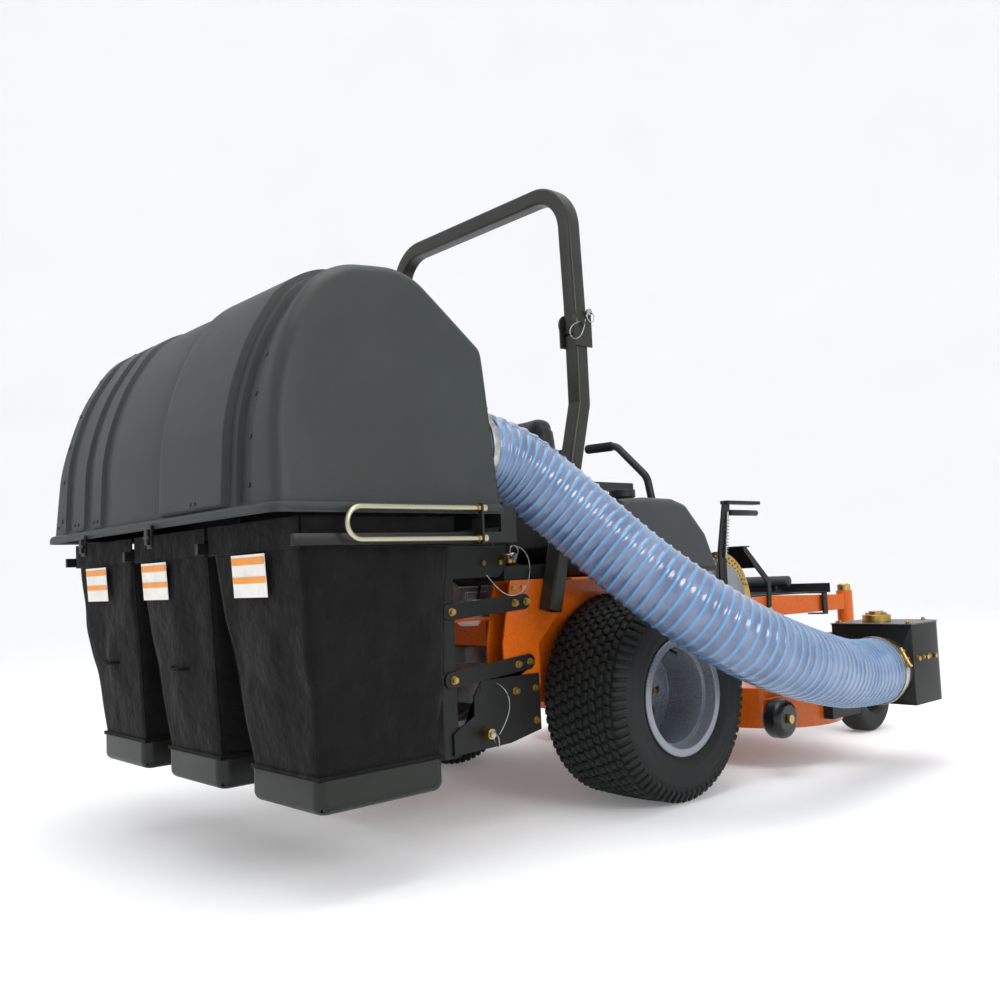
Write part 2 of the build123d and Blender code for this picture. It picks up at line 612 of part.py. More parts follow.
with BuildPart() as height_sector:
    with BuildSketch(Plane.YZ.offset(SECTOR_X[0])) as sector_face:
        with Locations((SECTOR_Y, SECTOR_Z)):
            Circle(SECTOR_R)
        with Locations((SECTOR_Y, SECTOR_Z - SECTOR_R + 8)):
            Rectangle(3 * SECTOR_R, 2 * SECTOR_R, mode=Mode.SUBTRACT)
        for row_radius, first in ((SECTOR_R - 14, 0), (SECTOR_R - 28, 3.2)):
            with Locations((SECTOR_Y, SECTOR_Z)):
                with PolarLocations(row_radius, 12, start_angle=22 + first, angular_range=72, endpoint=True):
                    Circle(4.5, mode=Mode.SUBTRACT)
    extrude(sector_face.sketch, amount=SECTOR_X[1] - SECTOR_X[0])
    block((RAIL_OUT, SECTOR_X[1]), (SECTOR_Y - 70, SECTOR_Y + 20), (RAIL_Z + 20, SECTOR_Z + 12))
    block((RAIL_OUT, SECTOR_X[1]), (SECTOR_Y + 85, SECTOR_Y + 150), (RAIL_Z + 20, SECTOR_Z + 12))
    rod((SECTOR_X[1], SECTOR_Y, SECTOR_Z), (374, SECTOR_Y, SECTOR_Z), 10)
    rod((350.5, SECTOR_Y, SECTOR_Z), (SECTOR_X[1], SECTOR_Y, SECTOR_Z), 18)
save(height_sector, "height_sector")

with BuildPart() as height_lever:
    lever_x = (361.0, 368.0)
    flat_bar([(SECTOR_Y, SECTOR_Z), (612, 717), (650, 872)], 40, lever_x)
    block((350, 380), (640, 845), (880, 892))
    block((lever_x[0] + 1, lever_x[1] - 1), (630, 668), (866, 884))
    rod((362, 655, 850), (362, 830, 850), 5)
    rod((364.5, 620, 690), (364.5, 648, 850), 4)
    rod((360, SECTOR_Y, SECTOR_Z), (370, SECTOR_Y, SECTOR_Z), 10 + RUN, mode=Mode.SUBTRACT)
save(height_lever, "height_lever")

with BuildPart() as lift_pedal:
    pedal_x = (331.0, 338.0)
    flat_bar([(PEDAL_Y, PEDAL_Z), (939, 596), (796, 718)], 22, pedal_x)
    side_plate([(782, 730), (800, 730), (858, 654), (850, 650)], (238, pedal_x[1]))
    block((238, pedal_x[1]), (782, 822), (727, 732))
    rod((330, PEDAL_Y, PEDAL_Z), (340, PEDAL_Y, PEDAL_Z), PEDAL_PIN_R + RUN, mode=Mode.SUBTRACT)
save(lift_pedal, "lift_pedal")

# ---------------------------------------------------------------- deck
with BuildPart() as deck_shell:
    with BuildSketch(Plane.XY.offset(DECK_Z[0])) as deck_outline:
        with Locations(*SPINDLES):
            Circle(DECK_R)
        make_hull()
    extrude(deck_outline.sketch, amount=DECK_Z[1] - DECK_Z[0])
    with BuildSketch(Plane.XY.offset(DECK_Z[0])) as deck_inside:
        with Locations(*SPINDLES):
            Circle(DECK_R - DECK_WALL)
        make_hull()
    extrude(deck_inside.sketch, amount=DECK_Z[1] - DECK_Z[0] - DECK_WALL, mode=Mode.SUBTRACT)
    with Locations(*((x, y, DECK_Z[1]) for x, y in SPINDLES)):
        Cylinder(20, 30, mode=Mode.SUBTRACT)
    block((580, 700), (700, 860), (DECK_Z[0] + 24, DECK_Z[1] - 12), mode=Mode.SUBTRACT)
    for side in (1, -1):
        strap_x = sorted((side * (RAIL_OUT + GAP), side * (RAIL_OUT + GAP + 6)))
        for rear in (600, 870):
            block(strap_x, (rear, rear + 35), (DECK_Z[1] - 2, RAIL_Z + 16))
        arm_x = sorted((side * (ROLLER_X - ROLLER_W / 2 - 12), side * (ROLLER_X - ROLLER_W / 2 - 5)))
        block(arm_x, (ROLLER_Y - 22, 582), (ROLLER_Z - 24, 236))
save(deck_shell, "deck_shell")

with BuildPart() as spindle_housings:
    with Locations(*((x, y, DECK_Z[1]) for x, y in SPINDLES)):
        Cylinder(75, 9, align=(Align.CENTER, Align.CENTER, Align.MIN))
        Cylinder(42, 58, align=(Align.CENTER, Align.CENTER, Align.MIN))
        Cylinder(SPINDLE_R + RUN, 140, mode=Mode.SUBTRACT)
save(spindle_housings, "spindle_housings")

with BuildPart() as deck_belt:
    with BuildSketch(Plane.XY.offset(BELT_Z[0])) as belt_outside:
        with Locations(*SPINDLES):
            Circle(BELT_OUT)
        make_hull()
    extrude(belt_outside.sketch, amount=BELT_Z[1] - BELT_Z[0])
    with BuildSketch(Plane.XY.offset(BELT_Z[0])) as belt_inside:
        with Locations(*SPINDLES):
            Circle(BELT_IN)
        make_hull()
    extrude(belt_inside.sketch, amount=BELT_Z[1] - BELT_Z[0], mode=Mode.SUBTRACT)
save(deck_belt, "deck_belt")


def blade(spindle, name):
    """A blade with its shaft, mount and grooved pulley."""
    x, y = spindle
    with BuildPart() as maker:
        block(
            (x - BLADE_L / 2, x + BLADE_L / 2),
            (y - BLADE_W / 2, y + BLADE_W / 2),
            (BLADE_Z, BLADE_Z + BLADE_T),
        )
        rod((x, y, BLADE_Z - 14), (x, y, 352), SPINDLE_R)
        rod((x, y, BLADE_Z + BLADE_T), (x, y, DECK_Z[1] - 12), 30)
        rod((x, y, BLADE_Z - 12), (x, y, BLADE_Z), 22)
        rod((x, y, BELT_Z[0] - 5), (x, y, BELT_Z[1] + 5), BELT_IN - SEAT)
        for low in (BELT_Z[0] - 6, BELT_Z[1] + 1):
            rod((x, y, low), (x, y, low + 5), BELT_OUT + 3)
    save(maker, name)


for place, label in zip(SPINDLES, ("blade_right", "blade_centre", "blade_left")):
    blade(place, label)

with BuildPart() as roller:
    roller_x = (ROLLER_X - ROLLER_W / 2, ROLLER_X + ROLLER_W / 2)
    rod((roller_x[0], ROLLER_Y, ROLLER_Z), (roller_x[1], ROLLER_Y, ROLLER_Z), ROLLER_R)
    fillet(roller.edges(), 22)
    rod((600, ROLLER_Y, ROLLER_Z), (690, ROLLER_Y, ROLLER_Z), 8 + RUN, mode=Mode.SUBTRACT)
save_both(roller, "roller")

# ---------------------------------------------------------------- blower
def blower_outline(inset, z):
    """Plan outline of the blower with its large front corner round."""
    with BuildSketch(Plane.XY.offset(z)) as outline:
        with Locations(((BLOWER_X[0] + BLOWER_X[1]) / 2, (BLOWER_Y[0] + BLOWER_Y[1]) / 2)):
            Rectangle(BLOWER_X[1] - BLOWER_X[0] - 2 * inset, BLOWER_Y[1] - BLOWER_Y[0] - 2 * inset)
        front_right = outline.vertices().sort_by(lambda v: v.X + v.Y)[-1]
        fillet(front_right, 70 - inset)
    return outline.sketch


with BuildPart() as blower_housing:
    extrude(blower_outline(0, BLOWER_Z[0]), amount=BLOWER_Z[1] - BLOWER_Z[0])
    extrude(
        blower_outline(BLOWER_WALL, BLOWER_Z[0] + BLOWER_WALL),
        amount=BLOWER_Z[1] - BLOWER_Z[0],
        mode=Mode.SUBTRACT,
    )
    # chute from the deck's side opening
    chute_y = (690, 870)
    chute_z = (150, 252)
    block((600, BLOWER_X[0] + BLOWER_WALL), chute_y, chute_z)
    inside_y = (chute_y[0] + BLOWER_WALL, chute_y[1] - BLOWER_WALL)
    inside_top = chute_z[1] - BLOWER_WALL
    block((590, BLOWER_X[0] + 20), inside_y, (BLOWER_Z[0] + 6, inside_top), mode=Mode.SUBTRACT)
    block((590, BLOWER_X[0] - 2), inside_y, (chute_z[0] + BLOWER_WALL, inside_top), mode=Mode.SUBTRACT)
    rod((*SPINDLES[0], 100), (*SPINDLES[0], 300), DECK_R + GAP, mode=Mode.SUBTRACT)
    # outlet collar
    out_x, out_z = OUTLET[0], OUTLET[2]
    rod((out_x, 648, out_z), (out_x, BLOWER_Y[0], out_z), COLLAR_R)
    rod((out_x, 640, out_z), (out_x, BLOWER_Y[0] + 8, out_z), COLLAR_R - COLLAR_WALL, mode=Mode.SUBTRACT)
save(blower_housing, "blower_housing")

COVER_Z = BLOWER_Z[1]
with BuildPart() as blower_cover:
    extrude(blower_outline(-3, COVER_Z), amount=COVER_T)
    rod((FAN_X, FAN_Y, COVER_Z - 5), (FAN_X, FAN_Y, COVER_Z + 10), 20, mode=Mode.SUBTRACT)
save(blower_cover, "blower_cover")

with BuildPart() as impeller:
    rod((FAN_X, FAN_Y, BLOWER_Z[0] + 14), (FAN_X, FAN_Y, COVER_Z + 24), SPINDLE_R)
    rod((FAN_X, FAN_Y, BLOWER_Z[0] + 14), (FAN_X, FAN_Y, BLOWER_Z[0] + 22), FAN_R)
    rod((FAN_X, FAN_Y, BLOWER_Z[0] + 14), (FAN_X, FAN_Y, COVER_Z - 30), 26)
    with Locations((FAN_X, FAN_Y, (BLOWER_Z[0] + COVER_Z) / 2)):
        with PolarLocations(FAN_R / 2, 5):
            Box(FAN_R, 5, COVER_Z - BLOWER_Z[0] - 60)
    with BuildSketch(Plane.XY.offset(BLOWER_Z[0])) as rim_cut:
        with Locations((FAN_X, FAN_Y)):
            Circle(FAN_R + 60)
            Circle(FAN_R, mode=Mode.SUBTRACT)
    extrude(rim_cut.sketch, amount=COVER_Z, mode=Mode.SUBTRACT)
save(impeller, "impeller")

with BuildPart() as deck_hardware:
    rod((FAN_X, FAN_Y, COVER_Z + COVER_T), (FAN_X, FAN_Y, COVER_Z + 26), 45)
    rod((FAN_X, FAN_Y, COVER_Z + 26), (FAN_X, FAN_Y, COVER_Z + 38), 24)
    hub_top = COVER_Z + 24 + SEAT
    rod((FAN_X, FAN_Y, COVER_Z - 20), (FAN_X, FAN_Y, hub_top), SPINDLE_R + RUN, mode=Mode.SUBTRACT)
    for x, y in ((BLOWER_X[0] + 20, 744), (BLOWER_X[1] - 20, 744), (BLOWER_X[0] + 20, 935)):
        rod((x, y, COVER_Z + COVER_T), (x, y, COVER_Z + COVER_T + 7), 7)
    for y in (755, 812, 869):
        rod((BLOWER_X[1], y, 350), (BLOWER_X[1] + 8, y, 350), 7)
    # clamp on the hose and its toggle latch
    rod((OUTLET[0], 664, OUTLET[2]), (OUTLET[0], 684, OUTLET[2]), HOSE_OUT_R + 3)
    rod((OUTLET[0], 660, OUTLET[2]), (OUTLET[0], 690, OUTLET[2]), HOSE_OUT_R + SEAT, mode=Mode.SUBTRACT)
    for side in (1, -1):
        arm_end = side * (ROLLER_X - ROLLER_W / 2 - 5)
        bolt_end = side * (ROLLER_X + ROLLER_W / 2 + 3)
        rod((arm_end, ROLLER_Y, ROLLER_Z), (bolt_end, ROLLER_Y, ROLLER_Z), 8)
        rod((bolt_end - side * 2, ROLLER_Y, ROLLER_Z), (bolt_end + side * 8, ROLLER_Y, ROLLER_Z), 14)
save(deck_hardware, "deck_hardware")

# ---------------------------------------------------------------- suction hose
hose_route = [
    INLET,
    (520, -572, 985),
    (602, -405, 835),
    (700, -322, 708),
    (812, -232, 585),
    (896, -85, 474),
    (922, 110, 402),
    (905, 330, 350),
    (868, 545, 316),
    OUTLET,
]
hose_radii = largest_radii(hose_route)
print("hose bend radii", [round(radius) for radius in hose_radii])
with BuildPart() as suction_hose:
    tube(hose_route, hose_radii, HOSE_OUT_R, HOSE_IN_R)
save(suction_hose, "suction_hose")

# ---------------------------------------------------------------- collector
def hood_form(inset):
    """The hood's outer shape, or the same shape moved inwards by a wall."""
    with BuildPart() as form:
        corners = [
            (HOOD_REAR, HOOD_Z),
            (HOOD_REAR + 15, 1130),
            (HOOD_REAR + 180, 1385),
            (-880, 1410),
            (HOOD_FRONT, 1245),
            (HOOD_FRONT, HOOD_Z),
        ]
        half = HOOD_HALF - inset
        with BuildSketch(Plane.YZ.offset(-half)) as profile:
            with BuildLine():
                shape = FilletPolyline(*corners[:5], radius=[350, 200, 150])
                Polyline(corners[4], corners[5], corners[0])
            make_face()
            if inset:
                offset(amount=-inset, mode=Mode.REPLACE)
        extrude(profile.sketch, amount=2 * half)
        for side in (1, -1):
            lean = [
                (side * half, HOOD_Z - 20),
                (side * (half + 60), HOOD_Z - 20),
                (side * (half + 60), 1500),
                (side * (half - HOOD_LEAN * (1500 - HOOD_Z)), 1500),
                (side * half, HOOD_Z),
            ]
            front_plate(lean, (HOOD_REAR - 50, HOOD_FRONT + 50), mode=Mode.SUBTRACT)
        for end in (-1, 0):
            cap = form.faces().sort_by(Axis.X)[end]
            round_edges = cap.edges().filter_by(
                lambda e: e.center().Z > HOOD_Z + inset + 2 and e.center().Y < HOOD_FRONT - inset - 2
            )
            fillet(round_edges, HOOD_ROUND - inset)
    return form.part


with BuildPart() as hood_lid:
    add(hood_form(0))
    add(hood_form(HOOD_WALL), mode=Mode.SUBTRACT)
    inner_half = HOOD_HALF - HOOD_WALL
    mouth = inner_half - 2
    mouth_top = 1238
    block((-mouth, mouth), (HOOD_REAR + 7, HOOD_FRONT - 20), (HOOD_Z - 5, HOOD_Z + 10), mode=Mode.SUBTRACT)
    front_opening = [
        (-mouth, HOOD_Z - 5),
        (mouth, HOOD_Z - 5),
        (mouth - HOOD_LEAN * (mouth_top - HOOD_Z), mouth_top),
        (-mouth + HOOD_LEAN * (mouth_top - HOOD_Z), mouth_top),
    ]
    front_plate(front_opening, (HOOD_FRONT - 25, HOOD_FRONT + 5), mode=Mode.SUBTRACT)
    # rim flange under the shell
    flange_z = (HOOD_Z - 20, HOOD_Z)
    block((-668, 668), (HOOD_REAR - 18, HOOD_FRONT), flange_z)
    fillet(hood_lid.edges().filter_by(Axis.Z).group_by(Axis.Y)[0], 40)
    block((-644, 644), (HOOD_REAR + 6, HOOD_FRONT + 5), (HOOD_Z - 25, HOOD_Z + 0.01), mode=Mode.SUBTRACT)
    for side in (1, -1):
        ear_x = sorted((side * 297, side * 307))
        block(ear_x, (HOOD_FRONT, HINGE_Y + 8), (HINGE_Z - 10, HINGE_Z + 8))
        rod((ear_x[0] - 1, HINGE_Y, HINGE_Z), (ear_x[1] + 1, HINGE_Y, HINGE_Z), 4 + RUN, mode=Mode.SUBTRACT)
save(hood_lid, "hood_lid")

with BuildPart() as bagger_bulkhead:
    edge = HOOD_HALF - HOOD_WALL - 4
    sheet_y = (HOOD_FRONT - 10, HOOD_FRONT - 6)
    sheet = [
        (-edge, HOOD_Z),
        (edge, HOOD_Z),
        (edge - HOOD_LEAN * (1234 - HOOD_Z), 1234),
        (-edge + HOOD_LEAN * (1234 - HOOD_Z), 1234),
    ]
    front_plate(sheet, sheet_y)
    block((-edge + 10, edge - 10), (sheet_y[0], TOWER_Y[1] - 5), (HOOD_Z, HOOD_Z + 4))
    # inlet collar for the hose
    in_x, in_y, in_z = INLET
    rod((in_x, sheet_y[0], in_z), (in_x, in_y + 48, in_z), COLLAR_R)
    rod((in_x, sheet_y[0] - 5, in_z), (in_x, in_y + 50, in_z), COLLAR_R - COLLAR_WALL, mode=Mode.SUBTRACT)
    for side in (1, -1):
        ear_x = sorted((side * 285, side * (297 - SEAT)))
        rod((ear_x[0], HINGE_Y, HINGE_Z), (ear_x[1], HINGE_Y, HINGE_Z), 7.5)
        block(ear_x, (HINGE_Y - 4, HINGE_Y + 4), (1200, HINGE_Z))
        block(ear_x, (sheet_y[1], HINGE_Y + 4), (1200, 1226))
        rod((side * 285, HINGE_Y, HINGE_Z), (side * 309, HINGE_Y, HINGE_Z), 4)
save(bagger_bulkhead, "bagger_bulkhead")

with BuildPart() as bagger_frame:
    beam_z = (HOOD_Z - 50, HOOD_Z)
    block((-652, 652), TOWER_Y, beam_z)
    block((-648, 648), (TOWER_Y[0] + 4, TOWER_Y[1] - 4), (beam_z[0] + 4, beam_z[1] - 4), mode=Mode.SUBTRACT)
    for side in (1, -1):
        post_x = sorted((side * TOWER_X[0], side * TOWER_X[1]))
        block(post_x, TOWER_Y, (200, beam_z[0]))
        post_inside = (post_x[0] + 4, post_x[1] - 4)
        block(post_inside, (TOWER_Y[0] + 4, TOWER_Y[1] - 4), (196, beam_z[0]), mode=Mode.SUBTRACT)
        # gusset that reaches forward over the frame
        gusset_x = sorted((side * (TOWER_X[1] - 6), side * TOWER_X[1]))
        gusset = [(TOWER_Y[1], 661), (-475, 661), (-448, 690), (-448, 745), (TOWER_Y[1], 745)]
        side_plate(gusset, gusset_x)
        # slide rails for the bags
        for near, far in ((207, 223), (640, 652)):
            rail_x = sorted((side * near, side * far))
            block(rail_x, (-1262, TOWER_Y[1]), (RAIL_TOP - 26, RAIL_TOP))
            block(rail_x, TOWER_Y, (RAIL_TOP, beam_z[0]))
        # plate that carries the guard rods
        block(sorted((side * 652, side * 690)), (-783, -777), (740, 800))
        block(sorted((side * 674, side * 690)), (-783, -777), (800, 836))
    block((-TOWER_X[0], TOWER_X[0]), TOWER_Y, (230, 270))
save(bagger_frame, "bagger_frame")

with BuildPart() as guard_rods:
    rod_low, rod_high, rod_front, rod_bend = 754, 824, -783, -1115
    with BuildLine() as rod_path:
        Line((ROD_X, rod_front, rod_low), (ROD_X, rod_bend, rod_low))
        ThreePointArc(
            (ROD_X, rod_bend, rod_low),
            (ROD_X, rod_bend - (rod_high - rod_low) / 2, (rod_low + rod_high) / 2),
            (ROD_X, rod_bend, rod_high),
        )
        Line((ROD_X, rod_bend, rod_high), (ROD_X, rod_front, rod_high))
    with BuildSketch(Plane(origin=(ROD_X, rod_front, rod_low), z_dir=(0, -1, 0))) as rod_section:
        Circle(ROD_R)
    sweep(rod_section.sketch, path=rod_path.line)
    for z in (rod_low, rod_high):
        rod((ROD_X, -777, z), (ROD_X, -765, z), 9)
    mirror(about=Plane.YZ)
save(guard_rods, "guard_rods")

with BuildPart() as bagger_links:
    for side in (1, -1):
        bar_x = sorted((side * BOX_OUT, side * (BOX_OUT + LINK_T)))
        flat_bar([(-662, 576), (-371 - 20, 590)], 42, bar_x)
        flat_bar([(-662, 400), (-362 - 20, 424)], 42, bar_x)
        lower = [
            (-588, 352),
            (-560, 390),
            (-347, 390),
            (-347, 235),
            (-464, 213),
            (-662, 207),
            (-662, 262),
            (-590, 300),
        ]
        side_plate(lower, bar_x)
save(bagger_links, "bagger_links")


def bag_form(inset, shift):
    """One bag's outer shape, or the shape inside its fabric."""
    with BuildPart() as form:
        low, high = (BAG_LOW, BAG_TOP) if not inset else (BAG_LOW - 1, BAG_TOP + 20)
        back = [(226 + inset, high), (636 - inset, high), (636 - inset, low), (353 + inset, low)]
        front_plate([(x - BAG_PITCH + shift, z) for x, z in back], (-1260, -800))
        side = [(-1236 + inset, high), (-828 - inset, high), (-884 - inset, low), (-1206 + inset, low)]
        side_plate(side, (shift - 300, shift + 300), mode=Mode.INTERSECT)
    return form.part


for index, place in enumerate(("right", "centre", "left")):
    middle = BAG_PITCH * (1 - index)
    with BuildPart() as bag:
        add(bag_form(0, middle))
        rim_x = (middle - 430 + 217, middle - 430 + 646)
        block(rim_x, (-1244, -820), (BAG_TOP, BAG_TOP + 8))
        add(bag_form(BAG_WALL, middle), mode=Mode.SUBTRACT)
    save(bag, f"bag_{place}")
    with BuildPart() as tray:
        tray_x = (middle - 430 + 348, middle - 430 + 641)
        block(tray_x, (-1211, -879), TRAY_Z)
        fillet(tray.edges().filter_by(Axis.Z), 30)
        fillet(tray.faces().sort_by(Axis.Z)[0].edges(), 22)
        inner_x, inner_z = (tray_x[0] + 9, tray_x[1] - 9), (TRAY_Z[0] + 9, TRAY_Z[1] + 1)
        block(inner_x, (-1202, -888), inner_z, mode=Mode.SUBTRACT)
    save(tray, f"tray_{place}")

# ---------------------------------------------------------------- hardware on the frame
with BuildPart() as chassis_hardware:
    for side in (1, -1):
        x = side * CASTER_X
        rod((x, CASTER_Y, CASTER_TUBE_Z[1]), (x, CASTER_Y, CASTER_TUBE_Z[1] + 23), 25)
        face = side * (BOX_OUT + LINK_T)
        upper_arm = [(-430, 588), (-386, 590), (-655, 576)]
        lower_arm = [(-426, 420.5), (-382, 424), (-655, 400)]
        bracket = [(-440, 350), (-365, 350), (-365, 262)]
        for y, z in upper_arm + lower_arm + bracket:
            rod((face, y, z), (face + side * 9, y, z), 8)
        for y in (-425, -390):
            rod((side * BOX_OUT, y, 628), (side * (BOX_OUT + 7), y, 628), 7)
        # ringed pins at the hitch brackets and at the gussets
        rod((face, -561, 253), (face + side * 34, -561, 253), 14)
        rod((side * TOWER_X[1], -462, 715), (side * (TOWER_X[1] + 34), -462, 715), 8)
    # pivot pin of the lift pedal
    rod((RAIL_OUT, PEDAL_Y, PEDAL_Z), (PEDAL_PIN_END, PEDAL_Y, PEDAL_Z), PEDAL_PIN_R)
    # clamp on the upper hose end
    clamp_at = [(INLET[0], INLET[1] + step, INLET[2]) for step in (10, 14, 32, 40)]
    rod(clamp_at[1], clamp_at[2], HOSE_OUT_R + 3)
    rod(clamp_at[0], clamp_at[3], HOSE_OUT_R, mode=Mode.SUBTRACT)
    rod((345, -384, 698), (345, -384, 716), 22)
save(chassis_hardware, "chassis_hardware")
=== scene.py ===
"""Finished surfaces and detail for a zero turn mower with a three-bag collector."""

import json
from math import cos, pi, radians, sin

import bmesh
import bpy
from mathutils import Matrix, Vector, noise


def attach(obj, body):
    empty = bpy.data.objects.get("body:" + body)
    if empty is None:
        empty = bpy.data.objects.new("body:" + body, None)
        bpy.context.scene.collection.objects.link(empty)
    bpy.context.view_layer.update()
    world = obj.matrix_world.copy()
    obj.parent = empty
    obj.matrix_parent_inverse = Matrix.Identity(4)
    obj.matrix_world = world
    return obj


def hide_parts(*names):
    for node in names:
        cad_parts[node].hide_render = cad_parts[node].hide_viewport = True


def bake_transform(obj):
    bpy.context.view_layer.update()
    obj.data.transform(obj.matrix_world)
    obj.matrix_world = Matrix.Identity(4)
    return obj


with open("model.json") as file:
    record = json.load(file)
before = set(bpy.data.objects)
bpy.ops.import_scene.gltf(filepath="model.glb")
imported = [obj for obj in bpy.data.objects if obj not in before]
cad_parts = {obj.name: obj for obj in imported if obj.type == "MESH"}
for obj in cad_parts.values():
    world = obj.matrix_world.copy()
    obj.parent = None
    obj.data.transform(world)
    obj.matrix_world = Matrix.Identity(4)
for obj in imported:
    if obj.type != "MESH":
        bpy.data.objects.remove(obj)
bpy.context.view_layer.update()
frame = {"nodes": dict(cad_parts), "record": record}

MM = 0.001


# ---------------------------------------------------------------- camera, floor and lights
camera = bpy.data.objects.new("camera", bpy.data.cameras.new("camera"))
camera.data.lens = 36
camera.data.sensor_width = 36
view_right = Vector((0.6727, 0.7386, -0.0436)).normalized()
view_back = Vector((0.7352, -0.6739, -0.0737)).normalized()
view_up = view_back.cross(view_right).normalized()
turned = Matrix((view_right, view_up, view_back)).transposed()
camera.matrix_world = Matrix.Translation((2.426, -2.317, 0.669)) @ turned.to_4x4()
camera.data.clip_end = 200
bpy.context.collection.objects.link(camera)
bpy.context.scene.camera = camera
bpy.context.scene.view_settings.view_transform = "Standard"


# ---------------------------------------------------------------- colour, nodes and finishes
def shade(code):
    """Linear colour of an sRGB hex value."""
    parts = [int(code[i : i + 2], 16) / 255 for i in (1, 3, 5)]
    return [c / 12.92 if c <= 0.04045 else ((c + 0.055) / 1.055) ** 2.4 for c in parts] + [1.0]


def node(tree, kind, sockets=(), **settings):
    """Adds one node. A socket given another node's output is wired to it, any other value is set."""
    made = tree.nodes.new("ShaderNode" + kind)
    for name, value in settings.items():
        setattr(made, name, value)
    for name, value in dict(sockets).items():
        if isinstance(value, bpy.types.NodeSocket):
            tree.links.new(value, made.inputs[name])
        else:
            made.inputs[name].default_value = value
    return made


def begin(name):
    """A new material with an empty node tree."""
    material = bpy.data.materials.new(name)
    material.use_nodes = True
    material.node_tree.nodes.clear()
    return material, material.node_tree


def close(tree, **sockets):
    """The shader and its output. Socket names are written with _ for a space."""
    shader = node(tree, "BsdfPrincipled", {k.replace("_", " "): v for k, v in sockets.items()})
    node(tree, "OutputMaterial", {"Surface": shader.outputs[0]})


def surface(name, deep, pale, grain, relief, rough, patch=300, streak=(1, 1, 1), dust=0.0,
        dust_tone="#8d8676", **shader):
    """A finish of two near tones. Its fine grain, broad patch and raised relief are in millimetres."""
    material, tree = begin(name)
    place = node(tree, "TexCoord").outputs["Object"]
    drawn = node(tree, "Mapping", {"Vector": place, "Scale": streak}).outputs[0]
    fine = node(tree, "TexNoise", {"Vector": drawn, "Scale": 1000 / grain, "Detail": 3.0}).outputs[0]
    broad = node(tree, "TexNoise", {"Vector": place, "Scale": 1000 / patch, "Detail": 5.0}).outputs[0]
    both = node(tree, "Math", {0: fine, 1: broad}, operation="ADD").outputs[0]
    tone = node(tree, "MapRange", {"Value": both, "From Min": 0.75, "From Max": 1.25}).outputs[0]
    colour = node(tree, "Mix", {0: tone, 6: shade(deep), 7: shade(pale)}, data_type="RGBA").outputs[2]
    if dust:
        up = node(tree, "SeparateXYZ", {0: node(tree, "NewGeometry").outputs["Normal"]}).outputs[2]
        lying = node(tree, "MapRange", {"Value": up, "From Min": -0.3, "From Max": 1.0,
            "To Max": dust}).outputs[0]
        settled = node(tree, "Math", {0: lying, 1: both}, operation="MULTIPLY").outputs[0]
        colour = node(tree, "Mix", {0: settled, 6: colour, 7: shade(dust_tone)},
            data_type="RGBA").outputs[2]
    gloss = node(tree, "MapRange", {"Value": both, "From Min": 0.7, "From Max": 1.3, "To Min": rough[0],
        "To Max": rough[1]})
    bump = node(tree, "Bump", {"Height": fine, "Distance": relief * MM, "Strength": 1.0})
    shader.setdefault("Specular_IOR_Level", 0.5 if "Metallic" in shader else 0.28)
    close(tree, Base_Color=colour, Roughness=gloss.outputs[0], Normal=bump.outputs[0], **shader)
    return material


def woven(name, deep, pale, thread, relief, sheen, crease=60):
    """Plain weave: two crossed thread waves over soft creases. thread is drawn coarse enough to show."""
    material, tree = begin(name)
    place = node(tree, "TexCoord").outputs["Object"]
    height = None
    for axis in ("X", "Y", "Z"):
        wave = node(tree, "TexWave", {"Vector": place, "Scale": 50 / thread, "Distortion": 0.4,
            "Detail": 1.0},
                    bands_direction=axis).outputs["Fac"]
        height = wave if height is None else node(tree, "Math", {0: height, 1: wave},
            operation="ADD").outputs[0]
    creases = node(tree, "TexNoise", {"Vector": place, "Scale": 1000 / crease, "Detail": 3.0}).outputs[0]
    fuzz = node(tree, "TexNoise", {"Vector": place, "Scale": 260.0, "Detail": 2.0}).outputs[0]
    both = node(tree, "Math", {0: creases, 1: fuzz}, operation="ADD").outputs[0]
    tone = node(tree, "MapRange", {"Value": both, "From Min": 0.7, "From Max": 1.3}).outputs[0]
    colour = node(tree, "Mix", {0: tone, 6: shade(deep), 7: shade(pale)}, data_type="RGBA").outputs[2]
    soft = node(tree, "Bump", {"Height": creases, "Distance": 14 * MM, "Strength": 0.8}).outputs[0]
    weave = node(tree, "Bump", {"Height": height, "Distance": relief * MM, "Strength": 0.8,
        "Normal": soft}).outputs[0]
    close(tree, Base_Color=colour, Roughness=0.86, Normal=weave, Sheen_Weight=sheen, Sheen_Roughness=0.5,
        Specular_IOR_Level=0.12)
    return material


# polyester powder coat over steel: orange with faint orange peel, scuffed where boots and belts pass
orange_powder = surface("orange_powder_coat", "#c4580a", "#d4660f", 9, 0.10, (0.26, 0.42), dust=0.05,
    dust_tone="#a8714a", Coat_Weight=0.3, Coat_Roughness=0.12)
# black powder coat, a little chalky where it stands out in the sun
black_powder = surface("black_powder_coat", "#0e100f", "#181a19", 5, 0.06, (0.34, 0.5), dust=0.04)
# the roll bar's dark olive coat
olive_powder = surface("olive_black_powder_coat", "#1b1d18", "#23251f", 6, 0.07, (0.3, 0.44), patch=160,
    dust=0.04, Coat_Weight=0.15, Coat_Roughness=0.2)
